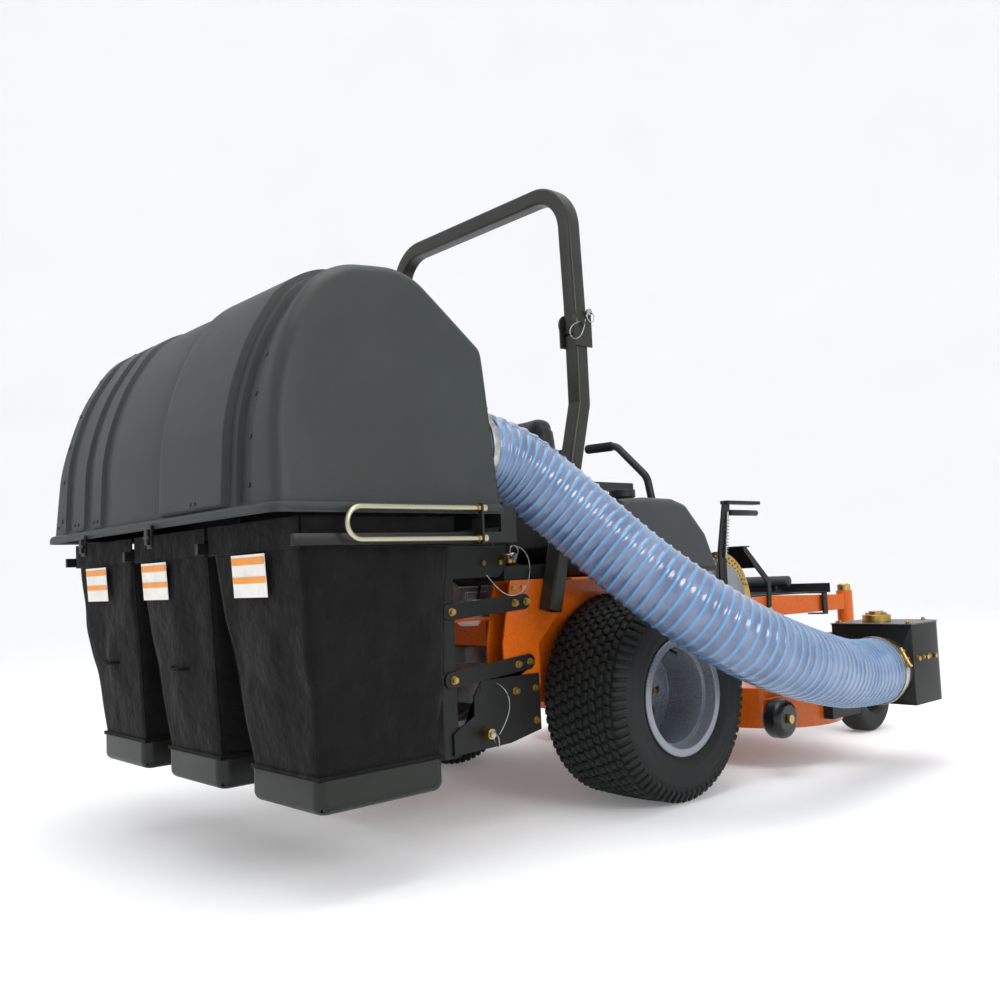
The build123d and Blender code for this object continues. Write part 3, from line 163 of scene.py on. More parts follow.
# rotomoulded polyethylene with a fine leather-like grain and pale scuffs
hood_polyethylene = surface("rotomoulded_polyethylene_charcoal", "#252b2a", "#2d3332", 3.2, 0.16,
    (0.44, 0.58), patch=240, dust=0.06, dust_tone="#6d7069")
tank_polyethylene = surface("moulded_polyethylene_grey", "#2e3335", "#393e40", 2.6, 0.10, (0.42, 0.56),
    patch=200, dust=0.05)
tray_polyethylene = surface("moulded_polyethylene_green_black", "#101411", "#171b18", 4, 0.10,
    (0.32, 0.46), patch=120, dust=0.05)
black_nylon = surface("moulded_nylon_black", "#141615", "#232524", 2.5, 0.06, (0.35, 0.5), patch=60)
# yellow chromate over zinc: gold shifting to straw and a hint of violet
gold_zinc = surface("yellow_zinc_plated_steel", "#a98a4a", "#c9ab68", 3, 0.02, (0.26, 0.38), patch=30,
    Metallic=1.0)
pale_zinc = surface("straw_zinc_plated_rod", "#a8a48b", "#b5b199", 3, 0.01, (0.26, 0.36), patch=200,
    Metallic=1.0)
bright_zinc = surface("clear_zinc_plated_steel", "#8f918f", "#bfc1bf", 3, 0.02, (0.25, 0.4), patch=20,
    Metallic=1.0)
rolled_steel = surface("rolled_steel_sheet", "#4f4f4b", "#6a6963", 5, 0.03, (0.3, 0.45), patch=90,
    streak=(1, 0.08, 1), Metallic=1.0)
ground_steel = surface("ground_spring_steel_blade", "#6d6f70", "#93969a", 3, 0.05, (0.3, 0.5),
    streak=(0.1, 1, 1), Metallic=1.0)
# silver wheel enamel with a lilac cast, grazed round its rim
silver_enamel = surface("silver_wheel_enamel", "#757b84", "#838992", 4, 0.02, (0.24, 0.34), patch=400,
    Metallic=0.3, Coat_Weight=0.4, Coat_Roughness=0.1)
cast_alloy = surface("sand_cast_aluminium", "#6f7274", "#9a9da0", 4, 0.3, (0.4, 0.6), patch=60,
    Metallic=0.85)
engine_enamel = surface("engine_block_enamel_black", "#151617", "#27292a", 4, 0.2, (0.3, 0.5), patch=60)
heat_steel = surface("heat_tinted_muffler_steel", "#3a3330", "#6b5f55", 5, 0.08, (0.4, 0.65), patch=50,
    Metallic=0.8)
tyre_rubber = surface("turf_tyre_rubber", "#121514", "#1c201f", 4, 0.12, (0.5, 0.72), patch=80, dust=0.10,
    dust_tone="#3d423c")
belt_rubber = surface("belt_rubber", "#121212", "#1f1f1f", 3, 0.1, (0.6, 0.8))
roller_rubber = surface("roller_polyurethane_black", "#0e1011", "#1b1e1f", 5, 0.05, (0.22, 0.4), patch=50,
    Coat_Weight=0.25, Coat_Roughness=0.15)
seat_vinyl = surface("seat_vinyl_black", "#161717", "#262727", 1.8, 0.18, (0.36, 0.52), patch=90,
    Sheen_Weight=0.1)
thread_grey = surface("stitching_thread_grey", "#4b4c4c", "#6c6d6d", 1.2, 0.2, (0.7, 0.9))
grip_foam = surface("foam_grip_black", "#101111", "#1c1d1d", 1.6, 0.3, (0.75, 0.9))
anti_slip = surface("anti_slip_grit_black", "#0f1010", "#2a2b2b", 1.8, 0.6, (0.75, 0.95))
bag_cloth = woven("polyester_bag_cloth_black", "#0a0a0a", "#141413", 1.2, 0.12, 0.06)
mesh_cloth = woven("open_polyester_mesh_black", "#080808", "#1e1d1b", 5.0, 1.2, 0.08)
piping_cloth = woven("bound_seam_tape_black", "#080808", "#121212", 1.6, 0.2, 0.05)
label_white = surface("printed_vinyl_label_white", "#dcd9d2", "#efece6", 3, 0.01, (0.3, 0.45), patch=40)
label_orange = surface("printed_vinyl_label_orange", "#e08a2a", "#f09b3a", 3, 0.01, (0.3, 0.45), patch=40)
label_amber = surface("amber_reflector_film", "#d98a10", "#f2ac2b", 2, 0.05, (0.2, 0.3), patch=20)
dial_grey = surface("anodised_dial_plate_grey", "#7d8185", "#94989b", 3, 0.02, (0.35, 0.45), patch=50,
    Metallic=0.6)


def hose_vinyl():
    """Clear blue PVC wound with a stiff round rib: milky lilac wall, bluer ribs made lighter than the wall
    as a painted highlight, bright wet gloss.
    """
    material, tree = begin("clear_blue_pvc_ribbed_hose")
    along = node(tree, "Attribute", attribute_name="rib").outputs["Fac"]
    place = node(tree, "TexCoord").outputs["Object"]
    cloud = node(tree, "TexNoise", {"Vector": place, "Scale": 12.0, "Detail": 4.0}).outputs[0]
    tone = node(tree, "MapRange", {"Value": cloud, "From Min": 0.35, "From Max": 0.65}).outputs[0]
    wall = node(tree, "Mix", {0: tone, 6: shade("#5f6d8f"), 7: shade("#828daa")},
        data_type="RGBA").outputs[2]
    # ribs take their own blue, painted lighter than the wall as a highlight along each rib
    rib_tone_and_highlight = node(tree, "MapRange", {"Value": along, "From Min": 0.45, "From Max": 0.9},
        interpolation_type="SMOOTHSTEP").outputs[0]
    colour = node(tree, "Mix", {0: rib_tone_and_highlight, 6: wall, 7: shade("#5b9fd4")}, data_type="RGBA").outputs[2]
    wrinkle = node(tree, "TexNoise", {"Vector": place, "Scale": 60.0, "Detail": 2.0}).outputs[0]
    bump = node(tree, "Bump", {"Height": wrinkle, "Distance": 0.0012, "Strength": 0.6}).outputs[0]
    close(tree, Base_Color=colour, Roughness=0.2, Normal=bump, Transmission_Weight=0.22, IOR=1.53,
        Coat_Weight=0.5, Coat_Roughness=0.06, Subsurface_Weight=0.15)
    return material


hose_pvc = hose_vinyl()


# ---------------------------------------------------------------- making pieces
def linked(name, data):
    """A new object in the scene."""
    made = bpy.data.objects.new(name, data)
    bpy.context.collection.objects.link(made)
    return made


def to_mesh(name, shape):
    """Writes a bmesh to a new mesh and frees it."""
    mesh = bpy.data.meshes.new(name)
    shape.to_mesh(mesh)
    shape.free()
    return mesh


def drawn_curve(name, kind, points, **settings):
    """The mesh that a curve gives. Each point is a place in metres and a radius."""
    curve = bpy.data.curves.new(name, "CURVE")
    curve.dimensions = "3D"
    cyclic = settings.pop("cyclic", False)
    for key, value in settings.items():
        setattr(curve, key, value)
    line = curve.splines.new(kind)
    line.points.add(len(points) - 1)
    for point, (place, radius) in zip(line.points, points):
        point.co = (*place, 1)
        point.radius = radius
    line.use_endpoint_u = not cyclic
    line.use_cyclic_u = cyclic
    line.order_u = 3
    holder = linked(name, curve)
    bpy.context.view_layer.update()
    mesh = bpy.data.meshes.new_from_object(holder.evaluated_get(bpy.context.evaluated_depsgraph_get()))
    bpy.data.objects.remove(holder)
    return mesh


def finished(name, shape, material, body, smooth=35, soft_edge=0.0):
    """Turns a bmesh into a piece that rides on a body, smooth shaded, with its edges eased by a bevel."""
    bmesh.ops.recalc_face_normals(shape, faces=shape.faces)
    mesh = to_mesh(name, shape)
    for each in material if isinstance(material, (list, tuple)) else [material]:
        mesh.materials.append(each)
    mesh.shade_smooth()
    mesh.set_sharp_from_angle(angle=radians(smooth))
    piece = linked(name, mesh)
    if soft_edge:
        ease(piece, soft_edge)
    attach(piece, body)
    return piece


def ease(piece, width, segments=2):
    """Rounds a piece's hard edges."""
    rounder = piece.modifiers.new("eased_edges", "BEVEL")
    rounder.width = width
    rounder.segments = segments
    rounder.limit_method = "ANGLE"
    rounder.angle_limit = radians(38)
    rounder.use_clamp_overlap = True
    rounder.harden_normals = False


def ends(start, end):
    """Places a shape made along Z so that it runs from start to end."""
    start, end = Vector(start) * MM, Vector(end) * MM
    turn = (end - start).to_track_quat("Z", "Y").to_matrix().to_4x4()
    return Matrix.Translation((start + end) / 2) @ turn, (end - start).length


def rod(shape, start, end, radius, far=None, sides=24):
    """A round bar between two points, in millimetres, tapering if far is given."""
    place, length = ends(start, end)
    bmesh.ops.create_cone(shape, cap_ends=True, segments=sides, radius1=radius * MM,
                          radius2=(radius if far is None else far) * MM, depth=length, matrix=place)


def block(shape, x, y, z):
    """A box from low and high values in millimetres."""
    middle = Vector(((x[0] + x[1]) / 2, (y[0] + y[1]) / 2, (z[0] + z[1]) / 2)) * MM
    size = Matrix.Diagonal(((x[1] - x[0]) * MM, (y[1] - y[0]) * MM, (z[1] - z[0]) * MM, 1))
    return bmesh.ops.create_cube(shape, size=1, matrix=Matrix.Translation(middle) @ size)["verts"]


def rounded(shape, edges, reach, steps=3, **more):
    """Rounds the given edges of a shape. reach is in metres."""
    bmesh.ops.bevel(shape, geom=edges, offset=reach, offset_type="OFFSET", segments=steps, profile=0.5,
                    affect="EDGES", material=-1, **more)


def end_edges(shape, axis):
    """The edges that lie square to an axis."""
    return [e for e in shape.edges if abs(e.verts[0].co[axis] - e.verts[1].co[axis]) < 0.001]


def sliced(shape, at, normal, **more):
    """Cuts every face that a plane crosses."""
    everything = shape.verts[:] + shape.edges[:] + shape.faces[:]
    bmesh.ops.bisect_plane(shape, geom=everything, plane_co=at, plane_no=normal, **more)


def hex_bolt(shape, at, along, across=9.0, height=6.0, washer=True):
    """A hexagon head with a washer, standing out from a face."""
    at, along = Vector(at), Vector(along).normalized()
    if washer:
        rod(shape, at, at + along * 1.6, across * 1.25, sides=20)
    rod(shape, at + along * 1.2, at + along * (1.2 + height), across, sides=6)
    rod(shape, at + along * (1.0 + height), at + along * (2.6 + height), across * 0.55, sides=12)


def ring(shape, centre, axis, radius, wire, steps=28, sides=8):
    """A wire ring spun about an axis."""
    centre, axis = Vector(centre) * MM, Vector(axis).normalized()
    out = axis.orthogonal().normalized()
    turn = Matrix((out, axis, out.cross(axis))).transposed().to_4x4()
    made = bmesh.ops.create_circle(shape, segments=sides, radius=wire * MM,
                                   matrix=Matrix.Translation(centre + out * radius * MM) @ turn)["verts"]
    edges = list({e for v in made for e in v.link_edges})
    bmesh.ops.spin(shape, geom=made + edges, cent=centre, axis=axis, angle=2 * pi, steps=steps,
        use_merge=True)


def lathe(shape, outline, centre, axis, steps=64):
    """Spins an outline of (distance along the axis, radius) in millimetres about the axis."""
    centre, axis = Vector(centre) * MM, Vector(axis).normalized()
    out = axis.orthogonal().normalized()
    made = [shape.verts.new(centre + axis * a * MM + out * r * MM) for a, r in outline]
    edges = [shape.edges.new(pair) for pair in zip(made, made[1:])]
    bmesh.ops.spin(shape, geom=made + edges, cent=centre, axis=axis, angle=2 * pi, steps=steps,
        use_merge=True)
    bmesh.ops.remove_doubles(shape, verts=shape.verts, dist=0.00002)


def wire(name, points, radius, material, body, slot):
    """A bent wire, strap edge or piping as a smooth tube through control points in millimetres."""
    places = [(Vector(place) * MM, 1) for place in points]
    mesh = drawn_curve(name, "NURBS", places, bevel_depth=radius * MM, bevel_resolution=3, resolution_u=8,
                       use_fill_caps=True)
    mesh.materials.clear()
    mesh.materials.append(material)
    mesh.shade_smooth()
    piece = linked(name, mesh)
    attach(piece, body)


BODY_OF = {n: body for body, nodes in frame["record"]["behaviour"]["bodies"].items() for n in nodes}


def eased_copy(cad_node, material, width=1.5):
    """A CAD node's own shape with its facets joined and its edges rounded, shown in its place."""
    shape = bmesh.new()
    shape.from_mesh(frame["nodes"][cad_node].data)
    bmesh.ops.remove_doubles(shape, verts=shape.verts, dist=0.00002)
    bmesh.ops.dissolve_limit(shape, angle_limit=radians(1.0), verts=shape.verts, edges=shape.edges,
        use_dissolve_boundaries=False)
    mesh = to_mesh(cad_node + "_finish", shape)
    mesh.materials.clear()
    mesh.materials.append(material)
    for face in mesh.polygons:
        face.material_index = 0
    mesh.shade_smooth()
    mesh.set_sharp_from_angle(angle=radians(35))
    piece = linked(cad_node + "_finish", mesh)
    if width:
        ease(piece, width * MM)
    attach(piece, BODY_OF[cad_node])
    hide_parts(cad_node)


# ---------------------------------------------------------------- stage
def dish():
    """Pale studio floor that curves up far away."""
    shape = bmesh.new()
    outline = [(0, 1), (0, 12000), (120, 15000), (700, 18500), (2200, 22500), (5500, 26500),
        (11000, 29500), (30000, 33000)]
    lathe(shape, outline, (0, 0, 0), (0, 0, 1), steps=96)
    paint = surface("matt_studio_paper", "#f4f4f5", "#f8f8f8", 40, 0.2, (0.85, 0.95), patch=2500,
                    Emission_Color=shade("#f6f6f7"), Emission_Strength=0.13)
    bmesh.ops.holes_fill(shape, edges=[e for e in shape.edges if e.is_boundary and e.calc_length() < 0.001])
    bmesh.ops.recalc_face_normals(shape, faces=shape.faces)
    mesh = to_mesh("studio_floor", shape)
    mesh.materials.append(paint)
    mesh.shade_smooth()
    linked("studio_floor", mesh)


dish()
world = bpy.data.worlds.new("studio")
bpy.context.scene.world = world
world.use_nodes = True
world.node_tree.nodes["Background"].inputs["Color"].default_value = shade("#f5f6f8")
world.node_tree.nodes["Background"].inputs["Strength"].default_value = 0.93


def softbox(name, at, aim, size, watts):
    """A square studio light pointed at a place, in metres."""
    lamp = linked(name, bpy.data.lights.new(name, "AREA"))
    lamp.data.shape = "SQUARE"
    lamp.data.size = size
    lamp.data.energy = watts
    lamp.location = at
    lamp.rotation_mode = "QUATERNION"
    lamp.rotation_quaternion = (Vector(aim) - Vector(at)).to_track_quat("-Z", "Y")


softbox("overhead_softbox", (0.6, -0.6, 5.2), (0.2, 0.1, 0.6), 3.6, 120)
softbox("right_softbox", (4.8, -0.6, 2.6), (0.4, 0.1, 0.6), 1.6, 75)
softbox("rear_softbox", (-1.8, -5.2, 3.0), (-0.2, -0.8, 0.9), 2.4, 26)


# ---------------------------------------------------------------- hood
def build_hood():
    """One moulded shell with raised bands over its roof and back, open below and in front."""
    half, low = 0.650, 0.831
    corners = [(-1.300, low), (-1.285, 1.130), (-1.120, 1.385), (-0.880, 1.410), (-0.690, 1.245),
        (-0.690, low)]
    shape = bmesh.new()
    end = [shape.verts.new((-half, y, z)) for y, z in corners]
    face = shape.faces.new(end)
    moved = bmesh.ops.extrude_face_region(shape, geom=[face])["geom"]
    bmesh.ops.translate(shape, verts=[v for v in moved if isinstance(v, bmesh.types.BMVert)],
        vec=(2 * half, 0, 0))
    bmesh.ops.recalc_face_normals(shape, faces=shape.faces)
    shape.verts.ensure_lookup_table()
    for v in shape.verts:
        v.co.x -= (1 if v.co.x > 0 else -1) * 0.125 * (v.co.z - low)

    def long_edges(y, z):
        return [e for e in shape.edges if all((v.co.yz - Vector((y, z))).length < 0.002 for v in e.verts)]

    for (y, z), reach, steps in ((corners[1], 0.150, 8), (corners[2], 0.095, 6), (corners[3], 0.062, 5)):
        rounded(shape, long_edges(y, z), reach, steps, clamp_overlap=True)
    rims = [
        e for e in shape.edges
        if len(e.link_faces) == 2 and any(abs(f.normal.x) > 0.9 for f in e.link_faces)
        and not all(v.co.z < low + 0.002 for v in e.verts) and not all(v.co.y > -0.692 for v in e.verts)
    ]
    rounded(shape, rims, 0.032, 4, clamp_overlap=True)
    shape.faces.ensure_lookup_table()
    gone = [f for f in shape.faces
            if all(v.co.z < low + 0.002 for v in f.verts) or all(v.co.y > -0.6915 for v in f.verts)]
    bmesh.ops.delete(shape, geom=gone, context="FACES")
    # moulded bands: a pair of cuts at each step, then the band between is pushed out
    bands = ((-0.560, -0.505, 9), (-0.455, -0.365, 9), (-0.320, -0.245, 9), (-0.205, 0.085, 5),
        (0.125, 0.455, 15))
    for near, far, _ in bands:
        for cut in (near, near + 0.007, far - 0.007, far):
            sliced(shape, (cut, 0, 0), (1, 0, 0))
    # recessed seam near the right end, where the end panel is riveted on
    for cut in (0.484, 0.491, 0.546, 0.553):
        sliced(shape, (cut, 0, 0), (1, 0, 0))
    for cut in (0.846, 0.90, 1.0, 1.1):
        sliced(shape, (0, 0, cut), (0, 0, 1))
    shape.normal_update()
    lift = {}
    for v in shape.verts:
        facing = Vector((0, v.normal.y, v.normal.z))
        if facing.length < 0.6 or v.co.z < 0.845:
            continue
        facing.normalize()
        for near, far, height in bands:
            if near + 0.006 < v.co.x < far - 0.006:
                lift[v] = facing * height * MM
        if 0.490 < v.co.x < 0.547:
            lift[v] = facing * -13 * MM
    for v, move in lift.items():
        v.co += move
    # rim round the foot: out, then down
    foot = [e for e in shape.edges if e.is_boundary and all(v.co.z < low + 0.003 for v in e.verts)]
    flange = bmesh.ops.extrude_edge_only(shape, edges=foot)["geom"]
    lip = [v for v in flange if isinstance(v, bmesh.types.BMVert)]
    for v in lip:
        v.co.x += (0.014 if v.co.x > 0 else -0.014) if abs(v.co.x) > 0.6 else 0
        v.co.y -= 0.012 if v.co.y < -1.25 else 0
        v.co.z -= 0.004
    again = bmesh.ops.extrude_edge_only(shape, edges=[e for e in flange if isinstance(e,
        bmesh.types.BMEdge) and e.is_boundary])["geom"]
    for v in [g for g in again if isinstance(g, bmesh.types.BMVert)]:
        v.co.z = 0.8125
    bmesh.ops.recalc_face_normals(shape, faces=shape.faces)
    hood = finished("hood_shell", shape, hood_polyethylene, "hood", smooth=60)
    wall = hood.modifiers.new("wall", "SOLIDIFY")
    wall.thickness = 0.005
    wall.offset = -1
    ease(hood, 0.0022, 2)
    smooth = hood.modifiers.new("moulded", "SUBSURF")
    smooth.levels = smooth.render_levels = 1
    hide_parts("hood_lid")
    bead = [(-660, -700), (-660, -1240), (-651, -1300), (-590, -1307), (0, -1307), (590, -1307),
        (651, -1300), (660, -1240), (660, -700)]
    wire("hood_foot_bead", [(x, y, 825) for x, y in bead], 10.5, hood_polyethylene, "hood", "hood_plastic")
    # blind rivets sit on the moulded surface, found from outside along a line to the middle of the shell
    bpy.context.view_layer.update()
    shell = hood.evaluated_get(bpy.context.evaluated_depsgraph_get())
    heads = bmesh.new()
    spots = [(x, radians(turn)) for x in (518, -542) for turn in (-14, 7, 26, 43, 61, 79)]
    spots += [(x, radians(-17)) for x in (-600, -575, -440, -415, -300, -275, 300, 322)]
    for x, turn in spots:
        out = Vector((0, -cos(turn), sin(turn)))
        hit, place, normal, _ = shell.ray_cast(Vector((x * MM, -1.0, 0.95)) + out, -out)
        if hit:
            size = 7.5 if abs(x) in (518, 542) else 5.5
            rod(heads, place / MM - normal * 2, place / MM + normal * 2.4, size, size - 1.5, sides=16)
    finished("hood_rivets", heads, black_nylon, "hood", smooth=50)


build_hood()


# ---------------------------------------------------------------- suction hose
def build_hose():
    """Thin wall wound with a stiff rib every 28 mm. It bends between the machine and the deck."""
    pitch, wall_r, proud = 0.028, 0.0992, 0.0038
    route = [(520, -689.5, 985), (520, -572, 985), (602, -405, 835), (700, -322, 708), (812, -232, 585),
             (896, -85, 474), (922, 110, 402), (905, 330, 350), (868, 545, 316), (868, 706, 316)]
    route_mesh = drawn_curve("hose_route", "NURBS", [(Vector(place) * MM, 1) for place in route],
        resolution_u=40)
    path = [v.co.copy() for v in route_mesh.vertices]
    steps, travelled = [0.0], 0.0
    for here, there in zip(path, path[1:]):
        travelled += (there - here).length
        steps.append(travelled)
    count = int(travelled / pitch * 9)
    rings, at = [], 0
    for index in range(count + 1):
        want = travelled * index / count
        while at < len(steps) - 2 and steps[at + 1] < want:
            at += 1
        share = (want - steps[at]) / max(steps[at + 1] - steps[at], 1e-9)
        rings.append((path[at].lerp(path[at + 1], share), (0.5 + 0.5 * cos(2 * pi * want / pitch)) ** 3))
    places = [(place, 1 + rib * proud / wall_r) for place, rib in rings]
    mesh = drawn_curve("hose_tube", "POLY", places, bevel_depth=wall_r, bevel_resolution=10)
    around = len(mesh.vertices) // len(rings)
    mark = mesh.attributes.new("rib", "FLOAT", "POINT")
    for index in range(len(mesh.vertices)):
        mark.data[index].value = rings[min(index // around, len(rings) - 1)][1]
    mesh.materials.clear()
    mesh.materials.append(hose_pvc)
    mesh.shade_smooth()
    hose = linked("ribbed_suction_hose", mesh)
    skin = hose.modifiers.new("wall", "SOLIDIFY")
    skin.thickness = 0.0015
    skin.offset = -1
    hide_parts("suction_hose")
    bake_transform(hose)


def band_clamp(name, centre, axis, body, latch):
    """Stainless band with rolled edges and its worm screw or toggle latch."""
    shape = bmesh.new()
    lathe(shape, [(-9, 103.2), (-9, 105.6), (-6, 106.4), (6, 106.4), (9, 105.6), (9, 103.2), (-9, 103.2)],
        centre, axis, steps=72)
    finished(name, shape, bright_zinc, body, smooth=50)
    shape = bmesh.new()
    side = Vector(latch).normalized()
    tangent = Vector(axis).cross(side)
    here = Vector(centre) + side * 110
    rod(shape, here - tangent * 26, here + tangent * 30, 5.5, sides=16)
    rod(shape, here + tangent * 30, here + tangent * 38, 8, sides=6)
    for shift in (-14, 12):
        ring(shape, here + tangent * shift, tangent, 8, 2.2)
    finished(name + "_latch", shape, gold_zinc, body)


# ---------------------------------------------------------------- tyres
def lug(name, long, wide, high):
    """One tread lug: a tapered, eased block with its foot at the origin, top up +Z."""
    shape = bmesh.new()
    bmesh.ops.create_cube(shape, size=1, matrix=Matrix.Diagonal((wide * MM, long * MM, high * MM, 1)))
    for v in shape.verts:
        if v.co.z > 0:
            v.co.x *= 0.84
            v.co.y *= 0.86
    top = [e for e in shape.edges if all(v.co.z > 0 for v in e.verts)]
    rounded(shape, top, 1.4 * MM, 1, clamp_overlap=True)
    bottom = [f for f in shape.faces if f.normal.z < -0.9]
    bmesh.ops.delete(shape, geom=bottom, context="FACES")
    return to_mesh(name, shape)


def place_copy(shape, mesh, matrix):
    """Adds a placed copy of a mesh to a shape."""
    before = len(shape.verts)
    shape.from_mesh(mesh)
    shape.verts.ensure_lookup_table()
    bmesh.ops.transform(shape, matrix=matrix, verts=shape.verts[before:])


def build_tyre(side, label):
    """Turf tyre: rounded carcass with closely set blocks and long shoulder lugs."""
    centre = Vector((500 * side, 0, 300))
    wall = [(118, 288.5), (131, 283), (142, 271), (148.5, 252), (150, 246), (148.6, 243), (149.6, 238),
        (149, 226), (146, 205), (146.8, 201),
            (145.6, 197), (141, 184), (136.5, 176), (133, 171), (132, 154), (112, 153)]
    outline = [(-a, r) for a, r in reversed(wall)] + [(-60, 290.6), (0, 291.4), (60, 290.6)] + wall
    shape = bmesh.new()
    lathe(shape, outline, centre, (1, 0, 0), steps=96)
    finished(f"turf_tyre_carcass_{label}", shape, tyre_rubber, f"drive_wheel_{label}",
        smooth=45)
    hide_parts(f"drive_tyre_{label}")
    block_mesh = lug("tread_block", 24.5, 22.5, 13)
    shoulder_mesh = lug("shoulder_lug", 15.5, 46, 14)
    shape = bmesh.new()
    around = 60
    for lane in range(9):
        across = (lane - 4) * 25.6
        skew = 0.30 * (1 if lane % 2 else -1)
        lift = 300 - 4.2 * (across / 118) ** 2 - 6.4
        for index in range(around):
            angle = 2 * pi * (index + 0.5 * (lane % 2) + 0.16 * lane) / around
            slant = Matrix(((1, 0, 0, 0), (skew, 1, 0, 0), (0, 0, 1, 0), (0, 0, 0, 1)))
            place = Matrix.Translation(centre * MM) @ Matrix.Rotation(angle, 4,
                "X") @ Matrix.Translation((across * MM, 0, lift * MM)) @ slant
            place_copy(shape, block_mesh, place)
    for flank in (1, -1):
        for index in range(72):
            angle = 2 * pi * (index + (0.5 if flank > 0 else 0)) / 72
            slope = Matrix.Translation((flank * 134.5 * MM, 0, 278.5 * MM))
            slope = slope @ Matrix.Rotation(flank * radians(52), 4, "Y")
            slope = slope @ Matrix.Rotation(flank * radians(9), 4, "Z")
            place_copy(shape, shoulder_mesh, Matrix.Translation(centre * MM) @ Matrix.Rotation(angle, 4,
                "X") @ slope)
    finished(f"turf_tyre_tread_{label}", shape, tyre_rubber, f"drive_wheel_{label}",
        smooth=50)
    # balance of the wheel: rolled lip bead, valve and cone nuts
    shape = bmesh.new()
    for flank in (1, -1):
        lathe(shape, [(flank * 132.5, 167), (flank * 133.5, 169.4), (flank * 136.5, 170.4),
            (flank * 139.6, 169), (flank * 140.4, 165.5), (flank * 139.4, 160)], centre, (1, 0,
            0), steps=96)
    lathe(shape, [(side * 98, 139), (side * 100, 146), (side * 104, 148.6), (side * 128, 150)], centre,
        (1, 0, 0), steps=96)
    finished(f"rolled_rim_lip_{label}", shape, silver_enamel, f"drive_wheel_{label}",
        smooth=60)
    shape = bmesh.new()
    face = (466 + 8) * side
    for index in range(5):
        angle = 2 * pi * index / 5
        at = (face, 50 * cos(angle), 300 + 50 * sin(angle))
        rod(shape, at, (at[0] + side * 13, at[1], at[2]), 11.5, sides=6)
        rod(shape, (at[0] + side * 13, at[1], at[2]), (at[0] + side * 19, at[1], at[2]), 7.5, 6.5)
    finished(f"wheel_nuts_{label}", shape, gold_zinc, f"drive_wheel_{label}")
    shape = bmesh.new()
    rod(shape, (588 * side, 0, 300 + 134), (588 * side + side * 34, 0, 300 + 118), 4.2, 3.6)
    finished(f"valve_stem_{label}", shape, black_nylon, f"drive_wheel_{label}")


